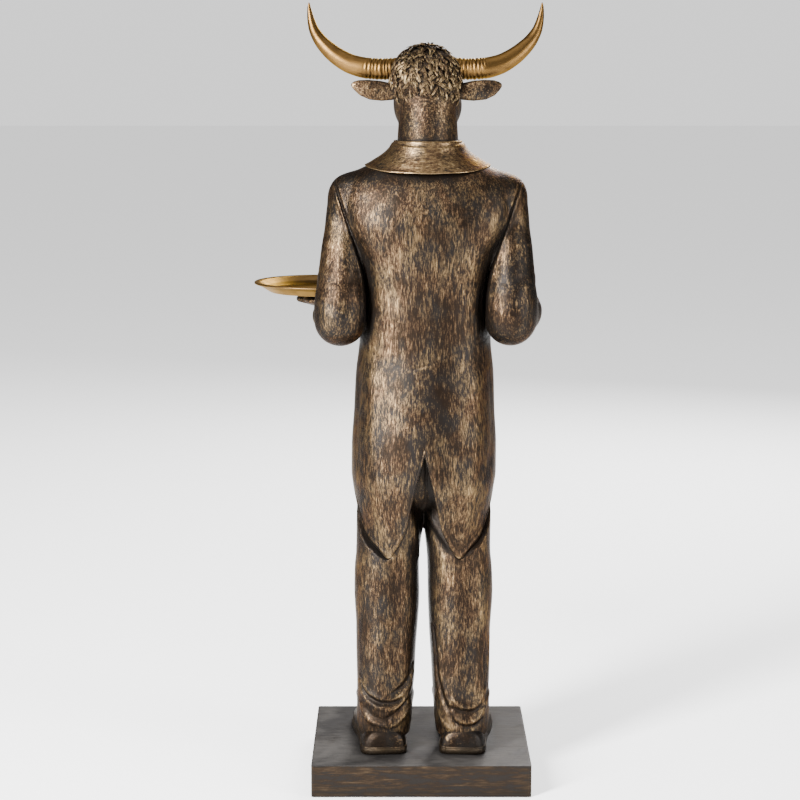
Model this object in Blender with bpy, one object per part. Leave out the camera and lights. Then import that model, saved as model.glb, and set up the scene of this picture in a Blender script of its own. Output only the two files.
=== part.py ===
"""A bull waiter statue: a standing bull in a tailcoat who carries a round tray, on a low plinth.

Three separate pieces: the plinth, the figure, cast as one, and the tray on its left hand.
Metres, +Z up. The figure faces -Y, its left hand is at +X, and the origin is at the
centre of the plinth's underside.
"""

import math

import bmesh
import bpy
from mathutils import Matrix, Vector

# Plinth
PLINTH_WIDTH = 0.290
PLINTH_DEPTH = 0.260
PLINTH_HEIGHT = 0.043
PLINTH_EDGE = 0.0025

# Figure: soles to horn tips
FIGURE_HEIGHT = 0.989

# Tray
TRAY_RIM_RADIUS = 0.0925
TRAY_FLOOR_RADIUS = 0.0720
TRAY_DEPTH = 0.0145
TRAY_WALL = 0.0030
TRAY_LIP_WIDTH = 0.0045
TRAY_SIDES = 32

# Touching pieces keep this gap
SEAT_GAP = 0.0003

# Neighbouring facets of the figure that turn less than this are made one
FLAT_ENOUGH_DEGREES = 3.0

# The figure's own tables are written in 989ths of its height, so that one part is
# a millimetre at full size. Heights are counted from the soles.
PART = FIGURE_HEIGHT / 989.0
SOLE_Z = PLINTH_HEIGHT + SEAT_GAP

# The figure leans a little: height, its middle line's distance to the left
CENTRE_LINE = [(0, -3), (300, -3.5), (560, -5.5), (780, -8.5), (850, -8.5), (905, -5.5), (989, -5.5)]

# Coat: height, half width, reach to the back, reach to the front
COAT_ROWS = [
    (240, 86, 79, 50),
    (297, 88, 85, 50),
    (337, 92, 90, 52),
    (372, 97, 94, 55),
    (407, 97, 93, 57),
    (457, 94, 87, 59),
    (507, 91.5, 79, 61),
    (547, 87.5, 74, 63),
    (607, 86, 74, 68),
    (657, 92, 79, 73),
    (697, 101, 80, 74),
    (727, 110, 74, 68),
    (747, 113, 68, 58),
    (757, 112.5, 63, 52),
    (763, 109, 59, 48),
    (768, 101, 56, 45),
    (773, 91, 52.5, 42.5),
    (778, 80, 49, 40.5),
    (784, 68, 46, 39),
    (796, 50, 40, 37),
]
COAT_SQUARENESS = 2.3
COAT_RING_HEIGHTS = (796, 783, 775, 768, 761, 748, 718, 680, 640, 600, 560)
CLOTH = 6.0
SIDE_CLOTH = 9.0
WAIST_Z = 560
HOLLOW_TOP = 400

# Hem of the coat: degrees round from the middle of the back, height. It has the vent at
# the back, the point of each tail and the cutaway at the front.
HEM_ROWS = [
    (0, 406),
    (2.9, 381),
    (8.4, 338),
    (12.3, 310),
    (16.7, 293),
    (23.5, 276),
    (29.7, 265.5),
    (36, 270),
    (43.7, 279),
    (51, 285),
    (60.6, 297),
    (75.5, 323),
    (90, 345),
    (105, 385),
    (118, 460),
    (130, 534),
    (150, 540),
    (172, 534),
    (180, 546),
]
HEM_ANGLES = (0, 1.4, 3, 6.5, 12.3, 19, 29.7, 40, 51, 64, 77, 90, 104, 114, 123, 132, 150, 166, 174)
SKIRT_ROWS = 5

# Hips, inside the coat: height, half width, reach to the back, reach to the front
HIP_ROWS = [
    (556, 78, 60, 58),
    (500, 83, 67, 56),
    (440, 86, 71, 56),
    (400, 84, 71, 54),
    (370, 80, 68, 51),
    (345, 72, 58, 42),
    (325, 56, 40, 26),
    (318, 40, 26, 14),
]
WAISTCOAT_ROWS = [(560, 84, 40, 61), (535, 84, 40, 61), (519, 80, 38, 58)]

# Trouser leg: height, distance of its centre from the middle, half width, centre towards the
# back, half depth
LEG_ROWS = [
    (420, 43, 45, 14, 52),
    (350, 43.5, 45.5, 18, 53),
    (310, 45, 45, 21, 50),
    (260, 47.5, 42.5, 25, 48),
    (214, 48.7, 43.5, 28, 47),
    (160, 49.3, 41, 32, 45),
    (100, 50.3, 38.8, 36, 44),
    (62, 51.5, 37.8, 38, 43),
    (40, 52.3, 37, 39, 43),
    (20, 52.5, 34.5, 39, 41.5),
]
LEG_RINGS = 13
LEG_SIDES = 14

# Soft folds above the hem: height, the fold's lowest point in degrees from the back, its rise
# at the sides, its depth and half its width
FOLDS = {
    1: [(74, -6, 34, 3.4, 7), (98, 4, 40, 3.0, 6), (54, -10, 26, 2.6, 6)],
    -1: [(66, 10, 36, 3.4, 7), (92, -4, 38, 2.8, 6), (48, 16, 24, 2.4, 6)],
}

# Sleeves: path from the shoulder to the cuff, as left of centre, towards the back, height, radius
SHOULDER = ((101, 9, 737), (29.5, 28, 28))
UPPER_ARM = [
    (102, 10, 738, 26),
    (106, 13, 720, 26.5),
    (108, 19, 697, 26.5),
    (110.5, 28, 665, 28.5),
    (111, 37, 627, 32),
    (111.5, 42, 596, 35),
    (111.5, 40, 578, 33.5),
]
TRAY_FOREARM = [
    (112, 44, 579, 32),
    (112, 12, 575, 29.5),
    (116, -28, 571.5, 26.5),
    (123, -66, 569, 23.5),
    (129, -94, 567.5, 21.5),
]
FOLDED_FOREARM = [
    (112, 42, 582, 31),
    (125, 4, 586, 29.5),
    (116, -42, 590, 28.5),
    (84, -76, 594, 27),
    (50, -93, 596, 25.5),
]
CUFF_SHRINK = 4.0
ARM_SIDES = 11

# Neck, and the head's sections from the back of the skull to the muzzle: towards the back,
# height, half width, half height, tilt of the section in degrees
NECK_ROWS = [(780, 41, 42, 38), (810, 40, 44, 42), (835, 38.6, 45, 44), (860, 38, 44, 44), (885, 35, 38, 40)]
HEAD_ROWS = [
    (30, 884, 20, 20, 20),
    (20, 884, 34, 33, 22),
    (0, 880, 42, 42, 26),
    (-26, 868, 43.5, 42, 30),
    (-50, 855, 39, 36, 32),
    (-74, 842, 32, 29.5, 33),
    (-96, 830, 30.5, 29.5, 33),
    (-114, 820, 34.5, 30.5, 33),
    (-130, 811, 34.5, 28.5, 33),
    (-141, 805, 27, 20.5, 33),
    (-145, 803, 14, 11, 33),
]
HEAD_SIDES = 16

# Horn: distance from the middle, towards the back, height, radius
HORN_ROWS = [
    (22, 0, 903, 13),
    (38, 0, 903.5, 14.2),
    (55, -1, 903, 13.9),
    (75, -3, 904, 13.8),
    (95, -6, 908.5, 13),
    (112, -9, 917, 11.9),
    (127, -12, 928.5, 10.4),
    (139, -15, 941.5, 8.4),
    (147, -17, 956, 6.3),
    (151, -19, 972, 4.1),
    (152.5, -20, 984, 2.0),
    (152.5, -20, 989, 0.7),
]
HORN_RINGS = 22
HORN_SIDES = 8
HORN_RIDGES = 5
HORN_RIDGE_HEIGHT = 0.05

# Ear: distance from the middle, towards the back, height, half height, half thickness
EAR_ROWS = [
    (34, 8, 874, 8, 7),
    (46, 9, 874, 11, 6),
    (60, 10, 875, 13.2, 5),
    (76, 11, 876.5, 13, 4.5),
    (88, 11, 879, 10, 4),
    (95, 11, 881.5, 5.5, 3),
    (98.5, 11, 882.5, 1.5, 1.5),
]

# Collars: degrees from the back, top height, foot height
COLLAR_ROWS = [(0, 804, 770), (35, 805, 771), (65, 807, 776), (90, 808, 779), (115, 807, 775), (138, 800, 758)]
COLLAR_TOP_REACH = (47, 50, 44)
COLLAR_FOOT_REACH = (80, 66, 54)
COLLAR_BURIED = 8.5
SHIRT_COLLAR_REACH = (44.5, 48.5, 46.5)
SHIRT_COLLAR_TOP = 811
SHIRT_COLLAR_FOOT = 780

# Lapel: height, inner edge and outer edge, both as distance from the middle
LAPEL_ROWS = [
    (778, 40, 66),
    (762, 36, 70),
    (744, 32, 71),
    (738, 31, 58),
    (733, 30, 73),
    (715, 27, 68),
    (680, 20, 54),
    (640, 13, 37),
    (604, 8, 20),
    (590, 7, 14),
]
LAPEL_PROUD = 3.5
LAPEL_BURIED = 4.0
WAISTCOAT_NECK = [(700, 1.5, 8), (718, 8, 17), (738, 16, 26), (752, 22, 32)]

# Shoe: towards the back, half width, height of the upper
SHOE_ROWS = [
    (84, 20, 26),
    (80, 27, 31),
    (66, 30.5, 36),
    (40, 30.5, 42),
    (10, 31, 44),
    (-20, 35, 38),
    (-46, 36.5, 31),
    (-72, 33, 25),
    (-90, 24.5, 20),
    (-98, 12, 13),
]
SHOE_CENTRE = 52.7
TOE_OUT_DEGREES = 4.0
SOLE_THICKNESS = 5.0
HEEL_THICKNESS = 10.0
WELT = 2.0
HEEL_LENGTH = 44.0

# The tray's place: over the left hand, its underside on the palm
TRAY_CENTRE = (146.5, -170)
TRAY_SEAT = 593.0

# Hands: length and radius of the fingers and the thumb, and the radii of each wrist
FINGERS = [(34, 6.1), (38, 6.4), (36, 6.2), (29, 5.6)]
THUMB = (28, 6.9)
FINGER_SIDES = 7
WRIST_SIDES = 12

# Left hand: half width, length and thickness of the palm, and its place from the tray's centre
TRAY_PALM = (24, 27, 8.5)
TRAY_PALM_PLACE = (-2, 18)
TRAY_WRIST_RADII = (15, 14, 9)
TRAY_KNUCKLES = (15, -16, -1.5)
TRAY_THUMB_ROOT = (8, 4, -2.5)

# Right hand: the same, its palm placed from the end of the forearm
FOLDED_PALM = (21, 12, 21)
FOLDED_PALM_PLACE = (40, -6, 1)
FOLDED_WRIST_RADIUS = 17
FOLDED_KNUCKLES = (12, -1, 14)
FOLDED_KNUCKLE_STEP = 9.3
FOLDED_THUMB_ROOT = (-2, -6, 15)

# Face, left side: centre, reach and turn in radians of each swelling, and of the nostril's hollow
FACE = {
    "brow": ((30, -40, 884), (13, 17, 7), (0.5, 0.5, 0)),
    "eye": ((34.5, -45, 872), (7, 8, 7), (0, 0, 0)),
    "lid": ((33, -43, 864), (8.5, 11, 4.5), (0.5, -0.3, 0)),
    "jaw": ((30, -16, 853), (13.5, 27, 20), (0.45, 0, 0)),
    "nostril_rim": ((18, -136, 818), (11, 8, 9), (0.5, 0.3, 0)),
}
NOSTRIL = ((17.5, -146, 819), (5.5, 7, 4), (0.3, 0.5, 0))
CHIN = ((0, -112, 793), (20, 21, 9), (0.3, 0, 0))

# Line of the mouth from the middle to the cheek, and the groove cut along it
MOUTH_LINE = [(0, -151, 797), (24, -141, 799), (37, -119, 805), (41, -94, 816)]
MOUTH_HALF_HEIGHT = 1.6
MOUTH_OUT = (3, -4)
MOUTH_IN = 7

# Hair
HAIR_ROWS = 8
HAIR_LOCK_SIDES = 4
HAIR_CAP = (40, 42, 46)
HAIR_CENTRE = (0, 2, 886)

# Bow tie: place of its middle, the knot's reach, and the wing: distance out, half height, half depth
TIE_PLACE = (-49, 783)
TIE_KNOT = (7, 7, 7.5)
TIE_WING = [(2, 4, 4), (9, 8, 5), (20, 12.5, 5.5), (27, 13, 4)]
TIE_SWEEP = 0.3

# Buttons: heights of the waistcoat's, and distance from the middle and height of the coat's
WAISTCOAT_BUTTONS = [690, 665, 640]
COAT_BUTTONS = [(33, 618), (29, 585)]
BUTTON_RADIUS = 4.2
BUTTON_PROUD = 2.2

BRONZE = ((0.13, 0.085, 0.05), 0.42, 0.85)
DARK_BRONZE = ((0.05, 0.045, 0.042), 0.5, 0.6)
PALE_BRASS = ((0.42, 0.27, 0.10), 0.32, 1.0)


def slopes(xs, ys):
    """Slopes at the points of a curve that never overshoots its points."""
    steps = [(y1 - y0) / (x1 - x0) for x0, x1, y0, y1 in zip(xs, xs[1:], ys, ys[1:])]
    found = [steps[0]]
    for before, after in zip(steps, steps[1:]):
        found.append(2 * before * after / (before + after) if before * after > 0 else 0.0)
    return found + [steps[-1]]


def curve_through(rows):
    """A smooth function from the first column of rows to a list of the others."""
    rows = sorted(rows)
    xs = [float(row[0]) for row in rows]
    columns = [[float(row[i]) for row in rows] for i in range(1, len(rows[0]))]
    tangents = [slopes(xs, column) for column in columns]

    def at(x):
        x = min(max(x, xs[0]), xs[-1])
        i = max(k for k in range(len(xs) - 1) if xs[k] <= x)
        width = xs[i + 1] - xs[i]
        t = (x - xs[i]) / width
        found = []
        for ys, ms in zip(columns, tangents):
            found.append(
                (2 * t**3 - 3 * t**2 + 1) * ys[i]
                + (t**3 - 2 * t**2 + t) * width * ms[i]
                + (3 * t**2 - 2 * t**3) * ys[i + 1]
                + (t**3 - t**2) * width * ms[i + 1]
            )
        return found

    return at


def evenly(rows, count):
    """Rows of a path resampled to count rows, smoothly, by their place in the list."""
    at = curve_through([(i, *row) for i, row in enumerate(rows)])
    return [at((len(rows) - 1) * i / (count - 1)) for i in range(count)]


def signed_power(value, power):
    return math.copysign(abs(value) ** power, value)


def oval(angle, half_width, back, front, squareness):
    """A point on a flattened ring, at angle radians round from the back."""
    across = half_width * signed_power(math.sin(angle), 2 / squareness)
    depth = back if math.cos(angle) > 0 else front
    return across, depth * signed_power(math.cos(angle), 2 / squareness)


def solid(name, rings):
    """A closed solid through rings of equally many points, each end closed by one face."""
    bm = bmesh.new()
    rows = [[bm.verts.new(Vector(point) * PART) for point in ring] for ring in rings]
    count = len(rows[0])
    for lower, upper in zip(rows, rows[1:]):
        for i in range(count):
            j = (i + 1) % count
            bm.faces.new((lower[i], lower[j], upper[j], upper[i]))
    bm.faces.new(rows[0])
    bm.faces.new(rows[-1])
    return as_object(name, bm)


def as_object(name, bm):
    bmesh.ops.triangulate(bm, faces=bm.faces)
    bmesh.ops.recalc_face_normals(bm, faces=bm.faces)
    mesh = bpy.data.meshes.new(name)
    bm.to_mesh(mesh)
    bm.free()
    if mesh_volume(mesh) < 0:
        mesh.flip_normals()
    made = bpy.data.objects.new(name, mesh)
    bpy.context.scene.collection.objects.link(made)
    return made


def mesh_volume(mesh):
    bm = bmesh.new()
    bm.from_mesh(mesh)
    volume = bm.calc_volume(signed=True)
    bm.free()
    return volume


def tube(name, path, sides, flatten=1.0, ends_round=True):
    """A solid along a path of (x, y, z, radius), with round or flat ends."""
    centres = [Vector(row[:3]) for row in path]
    rings = []
    along = (centres[1] - centres[0]).normalized()
    across = along.cross(Vector((0, 0, 1)) if abs(along.z) < 0.8 else Vector((0, 1, 0)))
    for i, row in enumerate(path):
        along = (centres[min(i + 1, len(path) - 1)] - centres[max(i - 1, 0)]).normalized()
        across = (across - along * across.dot(along)).normalized()
        rise = across.cross(along)
        ring = []
        for k in range(sides):
            turn = 2 * math.pi * k / sides
            ring.append(centres[i] + row[3] * (across * math.cos(turn) + rise * flatten * math.sin(turn)))
        rings.append(ring)
    if ends_round:
        first = rounded_end(centres[0], centres[0] - centres[1], path[0][3], rings[0])
        last = rounded_end(centres[-1], centres[-1] - centres[-2], path[-1][3], rings[-1])
        rings = [first] + rings + [last]
    return solid(name, rings)


def rounded_end(centre, outward, radius, ring):
    push = outward.normalized() * radius * 0.55
    return [centre + (point - centre) * 0.6 + push for point in ring]


def mirrored(path, side):
    return [(side * row[0], *row[1:]) for row in path]


def ball(name, centre, reach, turn=(0, 0, 0), rings=6, segments=10):
    """An ellipsoid with the given reach along its own axes."""
    bm = bmesh.new()
    bmesh.ops.create_uvsphere(bm, u_segments=segments, v_segments=rings, radius=1.0)
    shape = Matrix.Diagonal((*[r * PART for r in reach], 1))
    tilt = Matrix.Rotation(turn[2], 4, "Z") @ Matrix.Rotation(turn[1], 4, "Y") @ Matrix.Rotation(turn[0], 4, "X")
    bmesh.ops.transform(bm, matrix=Matrix.Translation(Vector(centre) * PART) @ tilt @ shape, verts=bm.verts)
    return as_object(name, bm)


coat_at = curve_through(COAT_ROWS)
hem_at = curve_through(HEM_ROWS)


def coat_point(angle, height, inset=0.0):
    half_width, back, front = coat_at(height)
    x, y = oval(angle, half_width - inset, back - inset, front - inset, COAT_SQUARENESS)
    return (x, y, height)


def coat_front(x, height, proud=0.0):
    """The point of the coat's front at distance x from the middle."""
    half_width, _, front = coat_at(height)
    share = min(abs(x) / half_width, 0.98)
    depth = front * (1 - share**COAT_SQUARENESS) ** (1 / COAT_SQUARENESS)
    return Vector((x, -(depth + proud), height))


def coat():
    """Body of the tailcoat: shoulders to waist, then tails and cutaway fronts as a shell."""
    right = [-math.radians(a) for a in reversed(HEM_ANGLES[1:])]
    angles = right + [math.radians(a) for a in HEM_ANGLES]
    rings = [[coat_point(a, z) for a in angles] for z in COAT_RING_HEIGHTS]
    hems = [hem_at(abs(math.degrees(a)))[0] for a in angles]
    for k in range(1, SKIRT_ROWS + 1):
        share = k / SKIRT_ROWS
        rings.append([coat_point(a, WAIST_Z + (hem - WAIST_Z) * share) for a, hem in zip(angles, hems)])
    for share in (0.0, 0.5, 1.0):
        ring = [(a, hem + (max(HOLLOW_TOP, hem + CLOTH) - hem) * share) for a, hem in zip(angles, hems)]
        rings.append([coat_point(a, z, CLOTH + (SIDE_CLOTH - CLOTH) * abs(math.sin(a))) for a, z in ring])
    return solid("coat", rings)


def oval_loft(name, rows, sides, squareness=2.2):
    rings = []
    for height, half_width, back, front in rows:
        ring = [oval(2 * math.pi * k / sides, half_width, back, front, squareness) for k in range(sides)]
        rings.append([(x, y, height) for x, y in ring])
    return solid(name, rings)


def fold_depth(side, degrees, height):
    """How far the cloth above the hem swells at this place."""
    swell = 0.0
    for low, middle, rise, depth, width in FOLDS[side]:
        turn = (degrees - middle + 180) % 360 - 180
        crest = low + rise * (1 - math.cos(math.radians(min(abs(turn), 120)))) / 1.5
        fade = max(0.0, math.cos(math.radians(turn) * 0.75))
        swell += depth * fade * math.exp(-((height - crest) / width) ** 2)
    return swell


def trouser_leg(side):
    leg_at = curve_through(LEG_ROWS)
    top, foot = LEG_ROWS[0][0], LEG_ROWS[-1][0]
    rings = []
    for i in range(LEG_RINGS):
        share = (i / (LEG_RINGS - 1)) ** 0.75
        height = top + (foot - top) * share
        centre, half_width, middle, half_depth = leg_at(height)
        ring = []
        for k in range(LEG_SIDES):
            angle = 2 * math.pi * k / LEG_SIDES
            swell = fold_depth(side, math.degrees(angle), height)
            x, y = oval(angle, half_width + swell, half_depth + swell, half_depth + swell, 2.15)
            ring.append((side * centre + x, middle + y, height))
        rings.append(ring)
    return solid(f"leg{side}", rings)


def shoe(side):
    """Upper and sole of one shoe."""
    pieces = []
    turn = Matrix.Rotation(math.radians(TOE_OUT_DEGREES * side), 4, "Z")

    def placed(x, y, z):
        point = turn @ Vector((x, y - SHOE_ROWS[2][0], z))
        return (point.x + side * SHOE_CENTRE, point.y + SHOE_ROWS[2][0], z)

    arch = [math.pi * k / 8 for k in range(9)]
    rings = []
    for back, half_width, top in SHOE_ROWS:
        ring = [placed(half_width * signed_power(math.cos(a), 0.7), back,
                       1.5 + (top - 1.5) * math.sin(a) ** 0.7) for a in arch]
        rings.append(ring)
    pieces.append(solid(f"upper{side}", rings))

    outline = [(half_width + WELT, back) for back, half_width, _ in SHOE_ROWS]
    outline[0] = (outline[0][0], outline[0][1] + WELT)
    outline[-1] = (outline[-1][0], outline[-1][1] - WELT)
    loop = outline + [(-w, b) for w, b in reversed(outline)]
    heel_front = SHOE_ROWS[0][0] - HEEL_LENGTH
    sole = [[placed(x, y, 0) for x, y in loop],
            [placed(x, y, HEEL_THICKNESS if y > heel_front else SOLE_THICKNESS) for x, y in loop]]
    pieces.append(solid(f"sole{side}", sole))
    return pieces


def sleeve(name, rows, side, rings):
    return tube(name, mirrored(evenly(rows, rings), side), ARM_SIDES)


def finger(name, start, direction, curl_axis, size, curl_degrees):
    """A finger of three joints that bends about curl_axis. Its size is its length and radius."""
    length, radius = size
    point = Vector(start)
    heading = Vector(direction).normalized()
    path = [(*point, radius)]
    for joint in range(3):
        heading = Matrix.Rotation(math.radians(curl_degrees), 3, Vector(curl_axis)) @ heading
        point = point + heading * length / 3
        path.append((*point, radius * (1 - 0.08 * (joint + 1))))
    return tube(name, path, FINGER_SIDES)


def tray_hand():
    """Left hand, palm up under the tray, its fingers spread forwards and its thumb outwards."""
    wrist = Vector(TRAY_FOREARM[-1][:3])
    across, back = (c + p for c, p in zip(TRAY_CENTRE, TRAY_PALM_PLACE))
    palm = Vector((across, back, TRAY_SEAT - TRAY_PALM[2]))
    middles = (wrist, wrist.lerp(palm, 0.5), palm)
    pieces = [tube("tray_wrist", [(*m, r) for m, r in zip(middles, TRAY_WRIST_RADII)], WRIST_SIDES, 0.8)]
    pieces.append(ball("tray_palm", palm, TRAY_PALM))
    for k, size in enumerate(FINGERS):
        spread = (1.5 - k) / 1.5
        start = palm + Vector((spread * TRAY_KNUCKLES[0], *TRAY_KNUCKLES[1:]))
        pieces.append(finger(f"tray_finger{k}", start, (spread * 0.4, -1, 0.02), (1, 0, 0), size, 1.5))
    start = palm + Vector(TRAY_THUMB_ROOT)
    pieces.append(finger("tray_thumb", start, (1, -0.8, 0.03), (0, 1, 0), THUMB, -1))
    return pieces


def folded_hand():
    """Right hand, laid across the waist with its fingers curled."""
    wrist = Vector((-FOLDED_FOREARM[-1][0], *FOLDED_FOREARM[-1][1:3]))
    palm = wrist + Vector(FOLDED_PALM_PLACE)
    path = [(*m, FOLDED_WRIST_RADIUS) for m in (wrist, wrist.lerp(palm, 0.5), palm)]
    pieces = [tube("folded_wrist", path, WRIST_SIDES, 0.95)]
    pieces.append(ball("folded_palm", palm, FOLDED_PALM))
    for k, size in enumerate(FINGERS):
        start = palm + Vector(FOLDED_KNUCKLES) - Vector((0, 0, FOLDED_KNUCKLE_STEP * k))
        pieces.append(finger(f"folded_finger{k}", start, (1, -0.25, 0.03 * k), (0, 0, 1), size, 31 + 3 * k))
    start = palm + Vector(FOLDED_THUMB_ROOT)
    pieces.append(finger("folded_thumb", start, (1, -0.5, 0.15), (0, 0, 1), THUMB, 12))
    return pieces


def cuffs():
    """Sleeve end and the shirt cuff that shows below it, on each wrist."""
    pieces = []
    for name, rows, side in (("tray", TRAY_FOREARM, 1), ("folded", FOLDED_FOREARM, -1)):
        end = Vector((side * rows[-1][0], *rows[-1][1:3]))
        before = Vector((side * rows[-2][0], *rows[-2][1:3]))
        along = (end - before).normalized()
        radius = rows[-1][3]
        sleeve_end = [(*(end + along * d), r) for d, r in ((-6, radius), (6, radius + 1.5), (13, radius + 1.2))]
        pieces.append(tube(f"{name}_sleeve_end", sleeve_end, ARM_SIDES, 1.0, False))
        inner = radius - CUFF_SHRINK
        shirt = [(*(end + along * d), r) for d, r in ((4, inner), (14, inner), (21, inner))]
        pieces.append(tube(f"{name}_shirt_cuff", shirt, 12, 1.0, False))
    return pieces


def head():
    """Skull, muzzle, eyes and ears, without the hair and the horns."""
    rings = []
    for back, height, half_width, half_height, tilt in HEAD_ROWS:
        lean = math.radians(tilt)
        ring = []
        for k in range(HEAD_SIDES):
            angle = 2 * math.pi * k / HEAD_SIDES
            x = half_width * signed_power(math.sin(angle), 0.9)
            rise = half_height * signed_power(math.cos(angle), 0.9)
            ring.append((x, back - rise * math.sin(lean), height + rise * math.cos(lean)))
        rings.append(ring)
    pieces = [solid("skull", rings), oval_loft("neck", NECK_ROWS, 14)]
    for side in (1, -1):
        pieces += [swelling(f"{name}{side}", shape, side) for name, shape in FACE.items()]
        pieces.append(ear(side))
    pieces.append(ball("chin", *CHIN, 7, 12))
    return pieces


def swelling(name, shape, side):
    """A ball of the face, on the given side."""
    (x, y, z), reach, (pitch, roll, turn) = shape
    return ball(name, (side * x, y, z), reach, (pitch, side * roll, side * turn))


def ear(side):
    rings = []
    for out, back, height, half_height, half_thickness in EAR_ROWS:
        ring = []
        for k in range(10):
            angle = 2 * math.pi * k / 10
            hollow = 0.55 if math.cos(angle) < 0 else 1.0
            ring.append((side * out, back + half_thickness * math.cos(angle) * hollow,
                         height + half_height * math.sin(angle)))
        rings.append(ring)
    return solid(f"ear{side}", rings)


def horn(side):
    """Horn with growth ridges round its root."""
    path = evenly(HORN_ROWS, HORN_RINGS)
    ridged = []
    for i, (x, y, z, radius) in enumerate(path):
        root = max(0.0, 1 - i / (HORN_RINGS * 0.42))
        ridge = 1 + HORN_RIDGE_HEIGHT * min(1.0, 3 * root) * (-1) ** i if i < 2 * HORN_RIDGES else 1.0
        ridged.append((side * x, y, z, radius * ridge))
    return tube(f"horn{side}", ridged, HORN_SIDES)


def hair_lock(name, root, out, down, sway):
    """One lock: thick where it leaves the head, then down along it to a point."""
    across = out.cross(down)
    rings = []
    for lift, drop, sideways, size in ((-2, -5, 0, 5.0), (3.4, 2, 0.4, 5.0), (3.2, 15, 1, 1.2)):
        middle = root + out * lift + down * drop + sway * sideways
        rings.append([middle + size * (across * math.cos(a) + out * 0.6 * math.sin(a))
                      for a in [2 * math.pi * k / HAIR_LOCK_SIDES for k in range(HAIR_LOCK_SIDES)]])
    return solid(name, rings)


def hair():
    """Curly mop: a cap with rows of pointed locks that hang outwards and down."""
    pieces = [ball("hair_cap", HAIR_CENTRE, HAIR_CAP, (0.2, 0, 0), 7, 14)]
    centre = Vector(HAIR_CENTRE)
    lock = 0
    for row in range(HAIR_ROWS):
        polar = math.radians(14 + 15 * row)
        count = max(5, round(13 * math.sin(polar)))
        for k in range(count):
            turn = 2 * math.pi * (k + 0.5 * (row % 2)) / count
            out = Vector((math.sin(turn) * math.sin(polar), math.cos(turn) * math.sin(polar), math.cos(polar)))
            beside_horn = abs(out.x) > 0.72 and -0.5 < out.z < 0.62
            low_on_face = out.y < -0.1 and out.z < 0.12
            if beside_horn or low_on_face:
                continue
            root = centre + Vector([c * r * 0.92 for c, r in zip(out, HAIR_CAP)])
            down = Vector((0, 0, -1)) - out * out.dot(Vector((0, 0, -1)))
            if down.length < 0.3:
                down = Vector((0.3, -1, 0)) if k % 2 else Vector((-0.3, 1, 0))
            down.normalize()
            sway = out.cross(down) * math.sin(2.4 * lock) * 4
            pieces.append(hair_lock(f"lock{lock}", root, out, down, sway))
            lock += 1
    return pieces


def coat_collar():
    """Turned-down collar that flares over the shoulders."""
    collar_at = curve_through(COLLAR_ROWS)
    last = COLLAR_ROWS[-1][0]
    steps = 18
    rings = []
    for i in range(steps + 1):
        degrees = -last + 2 * last * i / steps
        top, foot = collar_at(abs(degrees))
        angle = math.radians(degrees)
        edge = []
        for share in (0.0, 0.35, 0.7, 1.0):
            flare = share**1.5
            reach = [t + (f - t) * flare for t, f in zip(COLLAR_TOP_REACH, COLLAR_FOOT_REACH)]
            edge.append((*oval(angle, *reach, 2.1), top + (foot - top) * share))
        inside = [r - COLLAR_BURIED for r in SHIRT_COLLAR_REACH]
        under = [(*oval(angle, *inside, 2.1), z) for z in (foot - 2, top)]
        rings.append(edge + under)
    return solid("coat_collar", rings)


def shirt_collar():
    rows = [(z, *[r + more for r in SHIRT_COLLAR_REACH])
            for z, more in ((SHIRT_COLLAR_FOOT, 0), (SHIRT_COLLAR_TOP - 3, 0.6), (SHIRT_COLLAR_TOP, -1.5))]
    return oval_loft("shirt_collar", rows, 28, 2.1)


def front_plate(name, rows, side, proud, buried):
    """A thin plate on the coat's front, between an inner and an outer edge."""
    rings = []
    for height, inner, outer in rows:
        middle = (inner + outer) / 2
        across = (inner, middle, outer)
        face = [coat_front(side * x, height, proud) for x in across]
        back = [coat_front(side * x, height, -buried) for x in reversed(across)]
        rings.append(face + back)
    return solid(name, rings)


def bow_tie():
    """Two wings and a knot in front of the shirt collar."""
    back, height = TIE_PLACE
    pieces = [ball("bow_knot", (0, back, height), TIE_KNOT)]
    turns = [2 * math.pi * k / 10 for k in range(10)]
    for side in (1, -1):
        rings = []
        for out, half_height, half_depth in TIE_WING:
            y = back + out * TIE_SWEEP
            rings.append([(side * out, y + half_depth * math.cos(a), height + half_height * math.sin(a))
                          for a in turns])
        pieces.append(solid(f"bow_wing{side}", rings))
    return pieces


def buttons():
    pieces = []
    places = [(0, height) for height in WAISTCOAT_BUTTONS]
    places += [(side * x, height) for side in (1, -1) for x, height in COAT_BUTTONS]
    for i, (x, height) in enumerate(places):
        face = coat_front(x, height, BUTTON_PROUD)
        path = [(*(face + Vector((0, 6, 0))), BUTTON_RADIUS), (*face, BUTTON_RADIUS),
                (*(face - Vector((0, 1.2, 0))), BUTTON_RADIUS - 1.2)]
        pieces.append(tube(f"button{i}", path, 8, 1.0, False))
    return pieces


def nostrils_and_mouth():
    """Cutters for the nostrils and the line of the mouth."""
    cutters = []
    for side in (1, -1):
        cutters.append(swelling(f"nostril{side}", NOSTRIL, side))
        rings = []
        for x, y, z in MOUTH_LINE:
            rings.append([(side * x, y, z + MOUTH_HALF_HEIGHT),
                          (side * (x + MOUTH_OUT[0]), y + MOUTH_OUT[1], z),
                          (side * x, y, z - MOUTH_HALF_HEIGHT),
                          (side * x * 0.72, y + MOUTH_IN, z)])
        cutters.append(solid(f"mouth{side}", rings))
    return cutters


centre_line_at = curve_through(CENTRE_LINE)


def lean(made):
    """Moves a piece of the figure to its place on the plinth, with the figure's slight lean."""
    for vertex in made.data.vertices:
        vertex.co.x += centre_line_at(vertex.co.z / PART)[0] * PART
        vertex.co.z += SOLE_Z


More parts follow.
